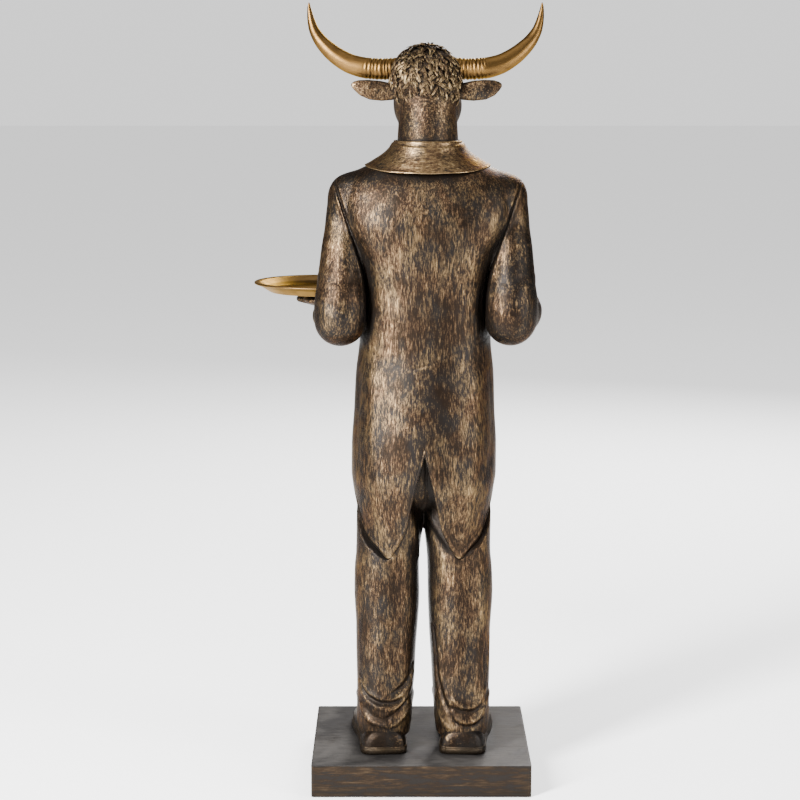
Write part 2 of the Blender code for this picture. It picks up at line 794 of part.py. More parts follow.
def material(name, look):
    colour, roughness, metallic = look
    made = bpy.data.materials.new(name)
    made.use_nodes = True
    shader = made.node_tree.nodes["Principled BSDF"]
    shader.inputs["Base Color"].default_value = (*colour, 1)
    shader.inputs["Roughness"].default_value = roughness
    shader.inputs["Metallic"].default_value = metallic
    return made


def fused(name, pieces, cutters, look):
    """One solid from overlapping pieces, less the cutters."""
    body, *others = pieces
    for operation, members in (("UNION", others), ("DIFFERENCE", cutters)):
        group = bpy.data.collections.new(f"{name}_{operation.lower()}")
        bpy.context.scene.collection.children.link(group)
        for member in members:
            bpy.context.scene.collection.objects.unlink(member)
            group.objects.link(member)
            member.hide_render = True
            member.display_type = "WIRE"
        join = body.modifiers.new(operation.title(), "BOOLEAN")
        join.operation = operation
        join.operand_type = "COLLECTION"
        join.collection = group
        join.solver = "EXACT"
    flatten = body.modifiers.new("Flatten", "DECIMATE")
    flatten.decimate_type = "DISSOLVE"
    flatten.angle_limit = math.radians(FLAT_ENOUGH_DEGREES)
    body.name = name
    body.data.materials.append(material(name, look))
    return body


def plinth():
    bm = bmesh.new()
    bmesh.ops.create_cube(bm, size=1.0)
    bmesh.ops.scale(bm, vec=(PLINTH_WIDTH, PLINTH_DEPTH, PLINTH_HEIGHT), verts=bm.verts)
    bmesh.ops.translate(bm, vec=(0, 0, PLINTH_HEIGHT / 2), verts=bm.verts)
    made = as_object("plinth", bm)
    edge = made.modifiers.new("Edge", "BEVEL")
    edge.width = PLINTH_EDGE
    edge.segments = 2
    made.data.materials.append(material("plinth", DARK_BRONZE))
    return made


def figure():
    pieces = [coat(), oval_loft("hips", HIP_ROWS, 22), oval_loft("waistcoat", WAISTCOAT_ROWS, 22)]
    for side in (1, -1):
        pieces.append(trouser_leg(side))
        pieces += shoe(side)
        pieces.append(sleeve(f"upper_arm{side}", UPPER_ARM, side, 9))
        (out, back, height), reach = SHOULDER
        pieces.append(ball(f"shoulder{side}", (side * out, back, height), reach, (0, 0, 0), 7, 12))
        pieces.append(front_plate(f"lapel{side}", LAPEL_ROWS, side, LAPEL_PROUD, LAPEL_BURIED))
        pieces.append(front_plate(f"waistcoat_neck{side}", WAISTCOAT_NECK, side, 1.8, LAPEL_BURIED))
        pieces.append(horn(side))
    pieces.append(sleeve("tray_forearm", TRAY_FOREARM, 1, 8))
    pieces.append(sleeve("folded_forearm", FOLDED_FOREARM, -1, 9))
    pieces += cuffs() + tray_hand() + folded_hand()
    pieces += head() + hair() + [coat_collar(), shirt_collar()] + bow_tie() + buttons()
    cutters = nostrils_and_mouth()
    for piece in pieces + cutters:
        lean(piece)
    return fused("figure", pieces, cutters, BRONZE)


def tray():
    """Turned dish with a sloping wall and a rolled lip, open at the top."""
    across = TRAY_CENTRE[0] + centre_line_at(TRAY_SEAT)[0]
    place = Vector((across, TRAY_CENTRE[1], TRAY_SEAT)) * PART + Vector((0, 0, SOLE_Z + SEAT_GAP))
    top = TRAY_DEPTH
    wall_out = TRAY_RIM_RADIUS - TRAY_LIP_WIDTH
    profile = [
        (0.0, 0.0),
        (TRAY_FLOOR_RADIUS - TRAY_WALL, 0.0),
        (TRAY_FLOOR_RADIUS, TRAY_WALL * 0.5),
        (wall_out, top - TRAY_WALL),
        (TRAY_RIM_RADIUS - TRAY_WALL * 0.3, top - TRAY_WALL),
        (TRAY_RIM_RADIUS, top - TRAY_WALL * 0.5),
        (TRAY_RIM_RADIUS - TRAY_WALL * 0.3, top),
        (wall_out - TRAY_WALL * 0.8, top),
        (TRAY_FLOOR_RADIUS - TRAY_WALL * 0.9, TRAY_WALL * 1.3),
        (TRAY_FLOOR_RADIUS - TRAY_WALL * 2.0, TRAY_WALL),
        (0.0, TRAY_WALL),
    ]
    bm = bmesh.new()
    points = [bm.verts.new((r, 0, z)) for r, z in profile]
    edges = [bm.edges.new(pair) for pair in zip(points, points[1:])]
    bmesh.ops.spin(bm, geom=points + edges, cent=(0, 0, 0), axis=(0, 0, 1), angle=2 * math.pi, steps=TRAY_SIDES,
                   use_merge=True)
    bmesh.ops.remove_doubles(bm, verts=bm.verts, dist=1e-6)
    made = as_object("tray", bm)
    made.location = place
    made.data.materials.append(material("tray", PALE_BRASS))
    return made


def main():
    for old in list(bpy.data.objects):
        bpy.data.objects.remove(old, do_unlink=True)
    plinth()
    figure()
    tray()


main()
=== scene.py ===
"""Looks of the bull waiter statue: sculpted cloth, hair, head, horns and hands in aged bronze.

The figure's own measures are in 989ths of its height, counted up from the soles, as in its solids.
It faces -Y and its left hand is at +X. The photograph was taken from behind it.
"""

import math

import bmesh
import bpy
import numpy as np
import openvdb
from mathutils import Matrix, Vector


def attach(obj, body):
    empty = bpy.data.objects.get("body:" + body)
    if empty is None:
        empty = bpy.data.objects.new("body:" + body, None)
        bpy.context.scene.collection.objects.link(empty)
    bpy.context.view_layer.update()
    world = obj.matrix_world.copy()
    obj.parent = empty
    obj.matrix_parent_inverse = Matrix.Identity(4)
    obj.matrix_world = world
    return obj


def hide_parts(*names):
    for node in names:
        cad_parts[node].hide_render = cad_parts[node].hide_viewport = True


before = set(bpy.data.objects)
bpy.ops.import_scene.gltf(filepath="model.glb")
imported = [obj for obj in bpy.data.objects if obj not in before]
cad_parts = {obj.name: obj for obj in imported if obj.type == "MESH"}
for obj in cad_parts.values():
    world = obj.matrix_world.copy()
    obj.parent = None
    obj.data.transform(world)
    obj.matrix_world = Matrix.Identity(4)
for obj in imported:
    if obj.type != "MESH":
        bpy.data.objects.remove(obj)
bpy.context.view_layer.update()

FIGURE_HEIGHT = 0.989
PART = FIGURE_HEIGHT / 989.0
PLINTH_HEIGHT = 0.043
SOLE_Z = PLINTH_HEIGHT + 0.0003

CENTRE_LINE = [(0, -3), (300, -3.5), (560, -5.5), (780, -8.5), (850, -8.5), (905, -5.5), (989, -5.5)]

COAT_ROWS = [
    (240, 86, 79, 50),
    (297, 88, 85, 50),
    (337, 92, 90, 52),
    (372, 97, 94, 55),
    (407, 97, 93, 57),
    (457, 94, 87, 59),
    (507, 91.5, 79, 61),
    (547, 87.5, 74, 63),
    (607, 86, 74, 68),
    (657, 92, 79, 73),
    (697, 101, 80, 74),
    (727, 110, 74, 68),
    (747, 113, 68, 58),
    (757, 112.5, 63, 52),
    (763, 109, 59, 48),
    (768, 101, 56, 45),
    (773, 91, 52.5, 42.5),
    (778, 80, 49, 40.5),
    (784, 68, 46, 39),
    (796, 50, 40, 37),
]
COAT_SQUARENESS = 2.3
HEM_ROWS = [
    (0, 406),
    (2.9, 381),
    (8.4, 338),
    (12.3, 310),
    (16.7, 293),
    (23.5, 276),
    (29.7, 265.5),
    (36, 270),
    (43.7, 279),
    (51, 285),
    (60.6, 297),
    (75.5, 323),
    (90, 345),
    (105, 385),
    (118, 460),
    (130, 534),
    (150, 540),
    (172, 534),
    (180, 546),
]
HIP_ROWS = [
    (556, 78, 60, 58),
    (500, 83, 67, 56),
    (440, 86, 71, 56),
    (400, 84, 71, 54),
    (370, 80, 68, 51),
    (345, 72, 58, 42),
    (325, 56, 40, 26),
    (318, 40, 26, 14),
]
LEG_ROWS = [
    (420, 43, 45, 14, 52),
    (350, 43.5, 45.5, 18, 53),
    (310, 45, 45, 21, 50),
    (260, 47.5, 42.5, 25, 48),
    (214, 48.7, 43.5, 28, 47),
    (160, 49.3, 41, 32, 45),
    (100, 50.3, 38.8, 36, 44),
    (62, 51.5, 37.8, 38, 43),
    (40, 52.3, 37, 39, 43),
    (20, 52.5, 34.5, 39, 41.5),
]
SHOULDER = ((101, 9, 737), (29.5, 28, 28))
UPPER_ARM = [
    (102, 10, 738, 26),
    (106, 13, 720, 26.5),
    (108, 19, 697, 26.5),
    (110.5, 28, 665, 28.5),
    (111, 37, 627, 32),
    (111.5, 42, 596, 35),
    (111.5, 40, 578, 33.5),
]
TRAY_FOREARM = [
    (112, 44, 579, 32),
    (112, 12, 575, 29.5),
    (116, -28, 571.5, 26.5),
    (123, -66, 569, 23.5),
    (129, -94, 567.5, 21.5),
]
FOLDED_FOREARM = [
    (112, 42, 582, 31),
    (125, 4, 586, 29.5),
    (116, -42, 590, 28.5),
    (84, -76, 594, 27),
    (50, -93, 596, 25.5),
]
NECK_ROWS = [
    (780, 41, 42, 38), (810, 40, 44, 42), (835, 38.6, 45, 44), (860, 38, 44, 44), (885, 35, 38, 40),
]
HEAD_ROWS = [
    (30, 884, 20, 20, 20),
    (20, 884, 34, 33, 22),
    (0, 880, 42, 42, 26),
    (-26, 868, 43.5, 42, 30),
    (-50, 855, 39, 36, 32),
    (-74, 842, 32, 29.5, 33),
    (-96, 830, 30.5, 29.5, 33),
    (-114, 820, 34.5, 30.5, 33),
    (-130, 811, 34.5, 28.5, 33),
    (-141, 805, 27, 20.5, 33),
    (-145, 803, 14, 11, 33),
]
HORN_ROWS = [
    (22, 0, 903, 13),
    (38, 0, 903.5, 14.2),
    (55, -1, 903, 13.9),
    (75, -3, 904, 13.8),
    (95, -6, 908.5, 13),
    (112, -9, 917, 11.9),
    (127, -12, 928.5, 10.4),
    (139, -15, 941.5, 8.4),
    (147, -17, 956, 6.3),
    (151, -19, 972, 4.1),
    (152.5, -20, 984, 2.0),
    (152.5, -20, 989, 0.7),
]
EAR_ROWS = [
    (34, 8, 874, 8, 7),
    (46, 9, 874, 11, 6),
    (60, 10, 875, 13.2, 5),
    (76, 11, 876.5, 13, 4.5),
    (88, 11, 879, 10, 4),
    (95, 11, 881.5, 5.5, 3),
    (98.5, 11, 882.5, 1.5, 1.5),
]
COLLAR_ROWS = [
    (0, 804, 770), (35, 805, 771.5), (65, 807, 775.8), (90, 808, 779), (115, 807, 776),
    (138, 800, 761),
]
COLLAR_TOP_REACH = (47, 50, 44)
COLLAR_FOOT_REACH = (83, 66.5, 55)
SHIRT_COLLAR_REACH = (44.5, 48.5, 46.5)
LAPEL_ROWS = [
    (778, 40, 66),
    (762, 36, 70),
    (744, 32, 71),
    (738, 31, 58),
    (733, 30, 73),
    (715, 27, 68),
    (680, 20, 54),
    (640, 13, 37),
    (604, 8, 20),
    (590, 7, 14),
]
WAISTCOAT_NECK = [(700, 1.5, 8), (718, 8, 17), (738, 16, 26), (752, 22, 32)]
SHOE_ROWS = [
    (84, 20, 26),
    (80, 27, 31),
    (66, 30.5, 36),
    (40, 30.5, 42),
    (10, 31, 44),
    (-20, 35, 38),
    (-46, 36.5, 31),
    (-72, 33, 25),
    (-90, 24.5, 20),
    (-98, 12, 13),
]
SHOE_CENTRE = 52.7
TOE_OUT_DEGREES = 4.0
TRAY_CENTRE = (146.5, -170)
TRAY_SEAT = 593.0
HAIR_CAP = (46, 43, 47.5)
HAIR_CENTRE = (0, 2, 886)
rng = np.random.default_rng(7)


def curve(rows, column=1):
    """A smooth function from the first column of rows to the given one, that never overshoots."""
    rows = np.array(sorted(rows), float)
    xs, ys = rows[:, 0], rows[:, column]
    steps = np.diff(ys) / np.diff(xs)
    tangents = np.zeros(len(xs))
    tangents[0], tangents[-1] = steps[0], steps[-1]
    inner = steps[:-1] * steps[1:] > 0
    both = np.where(inner, steps[:-1] + steps[1:], 1.0)
    tangents[1:-1] = np.where(inner, 2 * steps[:-1] * steps[1:] / both, 0.0)

    def at(x):
        x = np.clip(x, xs[0], xs[-1])
        i = np.clip(np.searchsorted(xs, x, side="right") - 1, 0, len(xs) - 2)
        width = xs[i + 1] - xs[i]
        t = (x - xs[i]) / width
        return ((2 * t**3 - 3 * t**2 + 1) * ys[i] + (t**3 - 2 * t**2 + t) * width * tangents[i]
                + (3 * t**2 - 2 * t**3) * ys[i + 1] + (t**3 - t**2) * width * tangents[i + 1])

    return at


def path_points(rows, count):
    """Rows of a path resampled smoothly to count rows."""
    numbered = [(i, *row) for i, row in enumerate(rows)]
    t = np.linspace(0, len(rows) - 1, count)
    return np.stack([curve(numbered, k)(t) for k in range(1, len(rows[0]) + 1)], axis=1)


def powered(value, power):
    return np.sign(value) * np.abs(value) ** power


def bell(x, wide):
    return np.exp(-(x / wide)**2)


def rounded(x, y, squareness):
    """How far out (x, y) is, with 1 on the edge of a squarish ring."""
    return (np.abs(x)**squareness + np.abs(y)**squareness) ** (1 / squareness)


def full_turn(count):
    return np.linspace(0, 2 * np.pi, count + 1)[:-1]


def hand_of(side):
    return "left" if side > 0 else "right"


def smooth_step(x, low, high):
    t = np.clip((x - low) / (high - low), 0, 1)
    return t * t * (3 - 2 * t)


centre_line = curve(CENTRE_LINE)


def placed(points):
    """Points in the figure's parts as metres in the frame, with the figure's lean."""
    out = np.array(points, float)
    out[..., 0] += centre_line(out[..., 2])
    out *= PART
    out[..., 2] += SOLE_Z
    return out


def mesh_object(name, points, faces, lean=True):
    """A smooth-shaded object from points and faces of equally many corners."""
    points = placed(points) if lean else np.asarray(points, float)
    mesh = bpy.data.meshes.new(name)
    sides = faces.shape[1]
    mesh.vertices.add(len(points))
    mesh.vertices.foreach_set("co", points.astype(np.float32).ravel())
    mesh.loops.add(faces.size)
    mesh.loops.foreach_set("vertex_index", faces.astype(np.int32).ravel())
    mesh.polygons.add(len(faces))
    mesh.polygons.foreach_set("loop_start", np.arange(0, faces.size, sides, dtype=np.int32))
    mesh.update(calc_edges=True)
    mesh.validate()
    mesh.polygons.foreach_set("use_smooth", np.ones(len(mesh.polygons), bool))
    made = bpy.data.objects.new(name, mesh)
    bpy.context.scene.collection.objects.link(made)
    return made


def grid_faces(rows, columns, wrap=True, first=0):
    """Quads between rows of equally many points."""
    i = np.arange(rows - 1)[:, None]
    j = np.arange(columns if wrap else columns - 1)[None, :]
    k = (j + 1) % columns
    quads = np.stack(np.broadcast_arrays(i * columns + j, i * columns + k, (i + 1) * columns + k,
                                         (i + 1) * columns + j), axis=-1)
    return quads.reshape(-1, 4) + first


# How far each end of a loft is drawn in, as shares of its first or last ring

DRAWN_IN = (0.02, 0.6)


def closed_loft(name, rings):
    """A closed surface through rings (rows x columns x 3), each end drawn in to a point."""
    rings = np.asarray(rings, float)
    low, high = rings[0].mean(axis=0), rings[-1].mean(axis=0)
    start = [low + (rings[0] - low) * share for share in DRAWN_IN]
    end = [high + (rings[-1] - high) * share for share in DRAWN_IN[::-1]]
    rings = np.concatenate([start, rings, end])
    made = mesh_object(name, rings.reshape(-1, 3), grid_faces(*rings.shape[:2]))
    close_ends(made)
    outward(made)
    return made


def close_ends(made):
    bm = bmesh.new()
    bm.from_mesh(made.data)
    bmesh.ops.holes_fill(bm, edges=[e for e in bm.edges if e.is_boundary], sides=0)
    bmesh.ops.triangulate(bm, faces=[f for f in bm.faces if len(f.verts) > 4])
    for face in bm.faces:
        face.smooth = True
    bm.to_mesh(made.data)
    bm.free()


def outward(made):
    """Turns a closed mesh's faces outwards."""
    mesh = made.data
    mesh.calc_loop_triangles()
    points = coordinates(mesh)
    corners = np.empty(len(mesh.loop_triangles) * 3, np.int32)
    mesh.loop_triangles.foreach_get("vertices", corners)
    a, b, c = (points[corners.reshape(-1, 3)[:, k]] for k in range(3))
    if np.einsum("ij,ij->i", a, np.cross(b, c)).sum() < 0:
        mesh.flip_normals()


def coordinates(mesh):
    flat = np.empty(len(mesh.vertices) * 3, np.float32)
    mesh.vertices.foreach_get("co", flat)
    return flat.reshape(-1, 3).astype(float)


def tube_rings(path, sides, radius_of=None):
    """Rings round a path of (x, y, z, radius), without twist."""
    centres, radii = path[:, :3], path[:, 3]
    along = np.gradient(centres, axis=0)
    along /= np.linalg.norm(along, axis=1, keepdims=True)
    helper = np.array((0, 0, 1.0)) if abs(along[0, 2]) < 0.8 else np.array((0, 1.0, 0))
    across = np.cross(along[0], helper)
    turns = 2 * np.pi * np.arange(sides) / sides
    rings = []
    for i, centre in enumerate(centres):
        across = across - along[i] * across.dot(along[i])
        across /= np.linalg.norm(across)
        rise = np.cross(across, along[i])
        r = radii[i] * (radius_of(i, turns) if radius_of else np.ones(sides))
        rings.append(centre + r[:, None] * (np.cos(turns)[:, None] * across + np.sin(turns)[:, None] * rise))
    return np.array(rings)


# Distance fields: negative inside, in the figure's parts

class Field:
    """A block of points on which solids are blended into one surface."""

    def __init__(self, low, high, step):
        self.low, self.step = np.array(low, float), step
        axes = [np.arange(a, b, step, dtype=np.float32) for a, b in zip(low, high)]
        self.x, self.y, self.z = np.meshgrid(*axes, indexing="ij")
        self.d = np.full(self.x.shape, 50.0, np.float32)

    def add(self, distance, blend=0.01):
        self.d = smooth_least(self.d, distance, blend)

    def cut(self, distance, blend=0.01):
        self.d = -smooth_least(-self.d, distance, blend)

    def surface(self, name, most_triangles):
        """The surface as a closed mesh, thinned to most_triangles where it has more."""
        band = self.step * 3
        grid = openvdb.FloatGrid(band)
        grid.copyFromArray(np.ascontiguousarray(np.clip(self.d, -band, band)))
        points, _, quads = grid.convertToPolygons(0.0, 0.0)
        points = self.low + points.astype(float) * self.step
        made = mesh_object(name, relaxed(points, quads), quads)
        outward(made)
        if len(quads) * 2 > most_triangles:
            thin = made.modifiers.new("Thin", "DECIMATE")
            thin.ratio = most_triangles / (len(quads) * 2)
        return made


def smooth_least(a, b, blend):
    h = np.clip(0.5 + 0.5 * (b - a) / blend, 0, 1)
    return b + (a - b) * h - blend * h * (1 - h)


def neighbour_means(points, edges):
    """The mean of each point's neighbours along the edges."""
    count = np.maximum(np.bincount(edges.ravel(), minlength=len(points)), 1)[:, None]
    total = [np.bincount(edges[:, 0], points[edges[:, 1], k], len(points))
             + np.bincount(edges[:, 1], points[edges[:, 0], k], len(points)) for k in range(3)]
    return np.stack(total, axis=1) / count


def relaxed(points, quads):
    """Points moved towards their neighbours and back out, which takes the steps of the grid away."""
    edges = np.concatenate([quads[:, [k, (k + 1) % 4]] for k in range(4)])
    for share in (0.5, -0.52):
        points = points + share * (neighbour_means(points, edges) - points)
    return points


def ellipsoid(f, centre, reach, turn=(0, 0, 0)):
    p = np.stack([f.x - centre[0], f.y - centre[1], f.z - centre[2]], axis=-1)
    if any(turn):
        tilt = np.array((Matrix.Rotation(turn[2], 3, "Z") @ Matrix.Rotation(turn[1], 3, "Y")
                         @ Matrix.Rotation(turn[0], 3, "X")), np.float32)
        p = p @ tilt
    reach = np.array(reach, np.float32)
    k0 = np.linalg.norm(p / reach, axis=-1)
    k1 = np.linalg.norm(p / reach**2, axis=-1)
    return k0 * (k0 - 1) / np.maximum(k1, 1e-6)


def rope(f, path, flatten=1.0):
    """Distance to a bent round bar along a path of (x, y, z, radius)."""
    best = np.full(f.x.shape, 1e3, np.float32)
    for a, b in zip(path, path[1:]):
        span = b[:3] - a[:3]
        px, py, pz = f.x - a[0], f.y - a[1], (f.z - a[2])
        t = np.clip((px * span[0] + py * span[1] + pz * span[2]) / max(span @ span, 1e-6), 0, 1)
        d = np.sqrt((px - t * span[0])**2 + (py - t * span[1])**2 + ((pz - t * span[2]) / flatten)**2)
        best = np.minimum(best, d - (a[3] + t * (b[3] - a[3])))
    return best


def stack(f, rows, squareness):
    """Distance to a body of flattened rings: rows of height, half width, reach back and reach front."""
    half, back, front = (curve(rows, k)(f.z) for k in (1, 2, 3))
    deep = np.where(f.y > 0, back, front)
    share = rounded(f.x / half, f.y / deep, squareness)
    heights = [row[0] for row in rows]
    side = (share - 1) * np.minimum(half, deep) * 0.9
    return np.maximum(side, np.maximum(min(heights) - f.z, f.z - max(heights))).astype(np.float32)


def finger_path(start, direction, curl_axis, size, curl_degrees):
    length, radius = size
    point, heading = Vector(start), Vector(direction).normalized()
    path = [(*point, radius)]
    for joint in range(3):
        heading = Matrix.Rotation(math.radians(curl_degrees), 3, Vector(curl_axis)) @ heading
        point = point + heading * length / 3
        path.append((*point, radius * (1 - 0.08 * (joint + 1))))
    return np.array(path, float)


def near_line(u, v, line):
    """Distance from the points (u, v) to a bent line."""
    best = np.full(np.shape(u), 1e3)
    for (a, b), (c, d) in zip(line, line[1:]):
        length = (c - a)**2 + (d - b)**2
        t = np.clip(((u - a) * (c - a) + (v - b) * (d - b)) / max(length, 1e-6), 0, 1)
        best = np.minimum(best, np.hypot(u - a - t * (c - a), v - b - t * (d - b)))
    return best


# Folds of each leg: height, below 0 for a groove, half width, and a line of (degrees from the back, height)

LEG_FOLDS = {
    1: [
        (-3.6, 2.6, [(56, 96), (50, 88), (32, 76), (8.5, 69), (-12, 68.5), (-27, 71)]),
        (1.7, 2.6, [(58, 101), (50, 94), (34, 82.5), (10, 76), (-12, 75), (-26, 77.5)]),
        (2.2, 3.0, [(50, 81), (32, 70), (13.5, 63.5), (-8, 61), (-24, 63), (-42, 74), (-60, 90)]),
        (-3.2, 3.2, [(-62, 116), (-52, 103), (-35, 91), (-15, 82)]),
        (1.6, 3.2, [(-68, 104), (-52, 90), (-34, 79)]),
        (-2.8, 2.6, [(-9, 50), (-20, 54), (-29, 60), (-43, 68)]),
        (2.0, 3.2, [(52, 62), (44, 52.5), (28, 45), (13, 41), (-8, 39), (-20, 40), (-40, 49), (-62, 62)]),
        (-2.4, 3.4, [(36, 60), (22, 51), (4, 46), (-6, 47)]),
        (0.8, 4.0, [(40, 150), (34, 128), (30, 108)]),
        (-2.2, 3.6, [(96, 80), (118, 66), (150, 60)]),
        (1.6, 3.4, [(92, 72), (118, 57), (150, 51)]),
        (-2.4, 3.6, [(-84, 84), (-112, 62), (-150, 64)]),
        (1.6, 3.4, [(-84, 74), (-112, 52), (-150, 54)]),
        (2.0, 4.5, [(-70, 262), (-52, 286), (-30, 322)]),
        (-1.6, 4.5, [(-78, 282), (-62, 300), (-44, 330)]),
        (0.7, 7.0, [(86, 250), (60, 222), (30, 210)]),
        (-1.2, 6.0, [(170, 262), (148, 228), (120, 216)]),
        (0.9, 6.0, [(176, 244), (150, 212), (122, 202)]),
    ],
    -1: [
        (-3.2, 3.0, [(56, 168), (51, 136), (50, 106), (37, 75), (21, 51), (13, 43)]),
        (1.4, 3.4, [(44, 140), (40, 108), (28, 78), (16, 59)]),
        (2.2, 3.0, [(15, 73), (3, 66), (-8.6, 63), (-24, 65), (-38, 72), (-52, 84)]),
        (-3.2, 2.8, [(19, 62), (5, 58), (-13, 56), (-28, 58), (-42, 64)]),
        (2.0, 3.0, [(26, 56), (12, 46), (-8, 42.5), (-24, 44), (-38, 50), (-52, 61), (-66, 74)]),
        (-2.4, 2.8, [(12, 40), (-8, 36), (-26, 38), (-40, 44)]),
        (1.4, 3.4, [(64, 72), (48, 46), (30, 34)]),
        (1.2, 4.0, [(-74, 150), (-66, 120), (-58, 96)]),
        (-2.2, 3.6, [(96, 84), (120, 66), (150, 60)]),
        (1.6, 3.4, [(92, 76), (118, 57), (150, 51)]),
        (-2.2, 3.6, [(-88, 84), (-115, 62), (-150, 64)]),
        (1.5, 3.4, [(-88, 74), (-115, 53), (-150, 54)]),
        (2.6, 4.0, [(78, 334), (52, 322), (32, 300), (16, 283), (-2, 276)]),
        (-2.2, 4.5, [(60, 312), (40, 296), (22, 272)]),
        (-1.6, 4.0, [(80, 350), (50, 340), (24, 318)]),
        (0.7, 7.0, [(-86, 250), (-60, 222), (-30, 210)]),
        (-1.2, 6.0, [(-170, 262), (-148, 228), (-120, 216)]),
        (0.9, 6.0, [(-176, 244), (-150, 212), (-122, 202)]),
    ],
}
SEAM_HEIGHT = 0.5
PARTS_PER_DEGREE = 0.72
LEG_SQUARENESS = 2.15
HIP_SQUARENESS = 2.2
LEG_FOOT, LEG_TOP = 20, 425
CLOTH_GRID = 1.6


def leg_swell(f, side, centre, middle):
    """Cloth relief of one leg, from the direction and the height of each point."""
    degrees = np.degrees(np.arctan2(f.x - side * centre, f.y - middle))
    relief = np.zeros(f.x.shape, np.float32)
    for size, wide, line in LEG_FOLDS[side]:
        shifts = (-360, 0, 360) if max(abs(a) for a, _ in line) > 140 else (0,)
        near = (f.z > min(z for _, z in line) - 5 * wide) & (f.z < max(z for _, z in line) + 5 * wide)
        for shift in shifts:
            bent = [((a + shift) * PARTS_PER_DEGREE, z) for a, z in line]
            d = near_line(degrees[near] * PARTS_PER_DEGREE, f.z[near], bent)
            relief[near] += 0.8 * size * bell(d, 1.15 * wide)
    relief += bell(np.abs(degrees) - 180, 3) * smooth_step(f.z, 60, 130)
    relief += SEAM_HEIGHT * bell(degrees - side * 84, 1.6) * smooth_step(f.z, 80, 110)
    relief += 0.6 * np.sin(f.z / 21 + side + degrees / 50) * smooth_step(f.z, 100, 170)
    return relief.astype(np.float32)


def trousers():
    """Both legs and the seat as one surface."""
    f = Field((-97, -66, 14), (97, 90, 558), CLOTH_GRID)
    centre, half, middle, deep = (curve(LEG_ROWS, k)(f.z) for k in (1, 2, 3, 4))
    for side in (1, -1):
        swell = leg_swell(f, side, centre, middle)
        x, y = (f.x - side * centre) / (half + swell), (f.y - middle) / (deep + swell)
        around = (rounded(x, y, LEG_SQUARENESS) - 1) * half * 0.95
        leg = np.maximum(around, np.maximum(LEG_FOOT - f.z, f.z - LEG_TOP))
        f.add(leg.astype(np.float32), 3.0)
    f.add(stack(f, HIP_ROWS, HIP_SQUARENESS), 9.0)
    f.d = np.maximum(f.d, under_coat(f))
    seam = 1.4 * bell(np.abs(f.x + 2.5), 1.7) * (f.y > 20) * smooth_step(f.z, 325, 345)
    f.d = f.d + seam.astype(np.float32)
    return f.surface("trousers", 150000)


# Folds of the coat: height, half width, and a line of (parts round from the back's middle, height)

COAT_FOLDS = [
    (-0.55, 1.2, [(-104, 556), (-75, 550), (-32, 539), (11, 517), (57, 530), (100, 556)]),
    (1.3, 15.0, [(62, 700), (54, 655), (60, 610)]),
    (1.3, 15.0, [(-62, 700), (-52, 655), (-60, 610)]),
    (0.8, 16.0, [(26, 700), (20, 640), (34, 590)]),
    (0.8, 16.0, [(-34, 690), (-22, 630), (-36, 580)]),
    (-1.2, 8.0, [(84, 640), (80, 600), (84, 560)]),
    (-1.2, 8.0, [(-84, 640), (-80, 600), (-84, 560)]),
    (2.2, 13.0, [(66, 500), (60, 420), (50, 350), (44, 292)]),
    (2.0, 13.0, [(-60, 500), (-58, 420), (-50, 350), (-44, 300)]),
    (0.8, 9.0, [(30, 430), (34, 380)]),
    (-1.0, 9.0, [(96, 500), (98, 440), (88, 390)]),
    (-1.0, 9.0, [(-96, 500), (-98, 440), (-88, 390)]),
]
COAT_TOP = 796
WAIST_Z = 560
CLOTH = 4.6
HOLLOW_TOP = 400
HEM_LIP = [(0.4, 0.9), (1.4, 1.3), (2.8, 1.2), (3.9, 0.8), (CLOTH, -0.4)]

# Seam of the armhole on the back: height and distance from the middle

ARMHOLE = [
    (560, 80), (572, 79), (597, 77.5), (633, 80.5), (667, 90), (703, 103), (727, 111.5),
    (748, 118.5), (770, 126),
]
ARMHOLE_SLOPE = 0.88


def armhole_relief(x, y, z):
    """Sunk seam between two rolled edges, where each sleeve joins the coat."""
    off = (np.abs(x) - curve(ARMHOLE)(z)) * ARMHOLE_SLOPE
    shown = smooth_step(z, 566, 596) * smooth_step(-z, -768, -750) * (y > 12)
    rolls = 0.8 * bell(off - 3.0, 1.4) + 0.8 * bell(off + 3.0, 1.4)
    return shown * (rolls - 1.9 * bell(off, 1.3))


def back_corner(cosine, height):
    """How much fuller the coat's back is towards the armholes: added half width and squareness."""
    share = bell(height - 712, 42) * smooth_step(cosine, 0.05, 0.4)
    return 6.5 * share, 0.8 * share


def coat_surface(angle, height, grow=0.0):
    """Points of the coat's cloth at an angle round from the back, grown by grow."""
    wider, squarer = back_corner(np.cos(angle), height)
    power = 2 / (COAT_SQUARENESS + squarer)
    x = (curve(COAT_ROWS, 1)(height) + wider + grow) * powered(np.sin(angle), power)
    deep = np.where(np.cos(angle) > 0, curve(COAT_ROWS, 2)(height), curve(COAT_ROWS, 3)(height))
    return np.stack([x, (deep + grow) * powered(np.cos(angle), power), height], axis=-1)


def coat_relief(angle, z):
    u = angle * 80
    relief = np.zeros(np.shape(z))
    for size, wide, line in COAT_FOLDS:
        relief += size * bell(near_line(u, z, line), wide)
    relief += 0.35 * np.sin(u / 19 + z / 41) * np.sin(z / 33 + 1.3)
    return relief * smooth_step(-z, -790, -765)


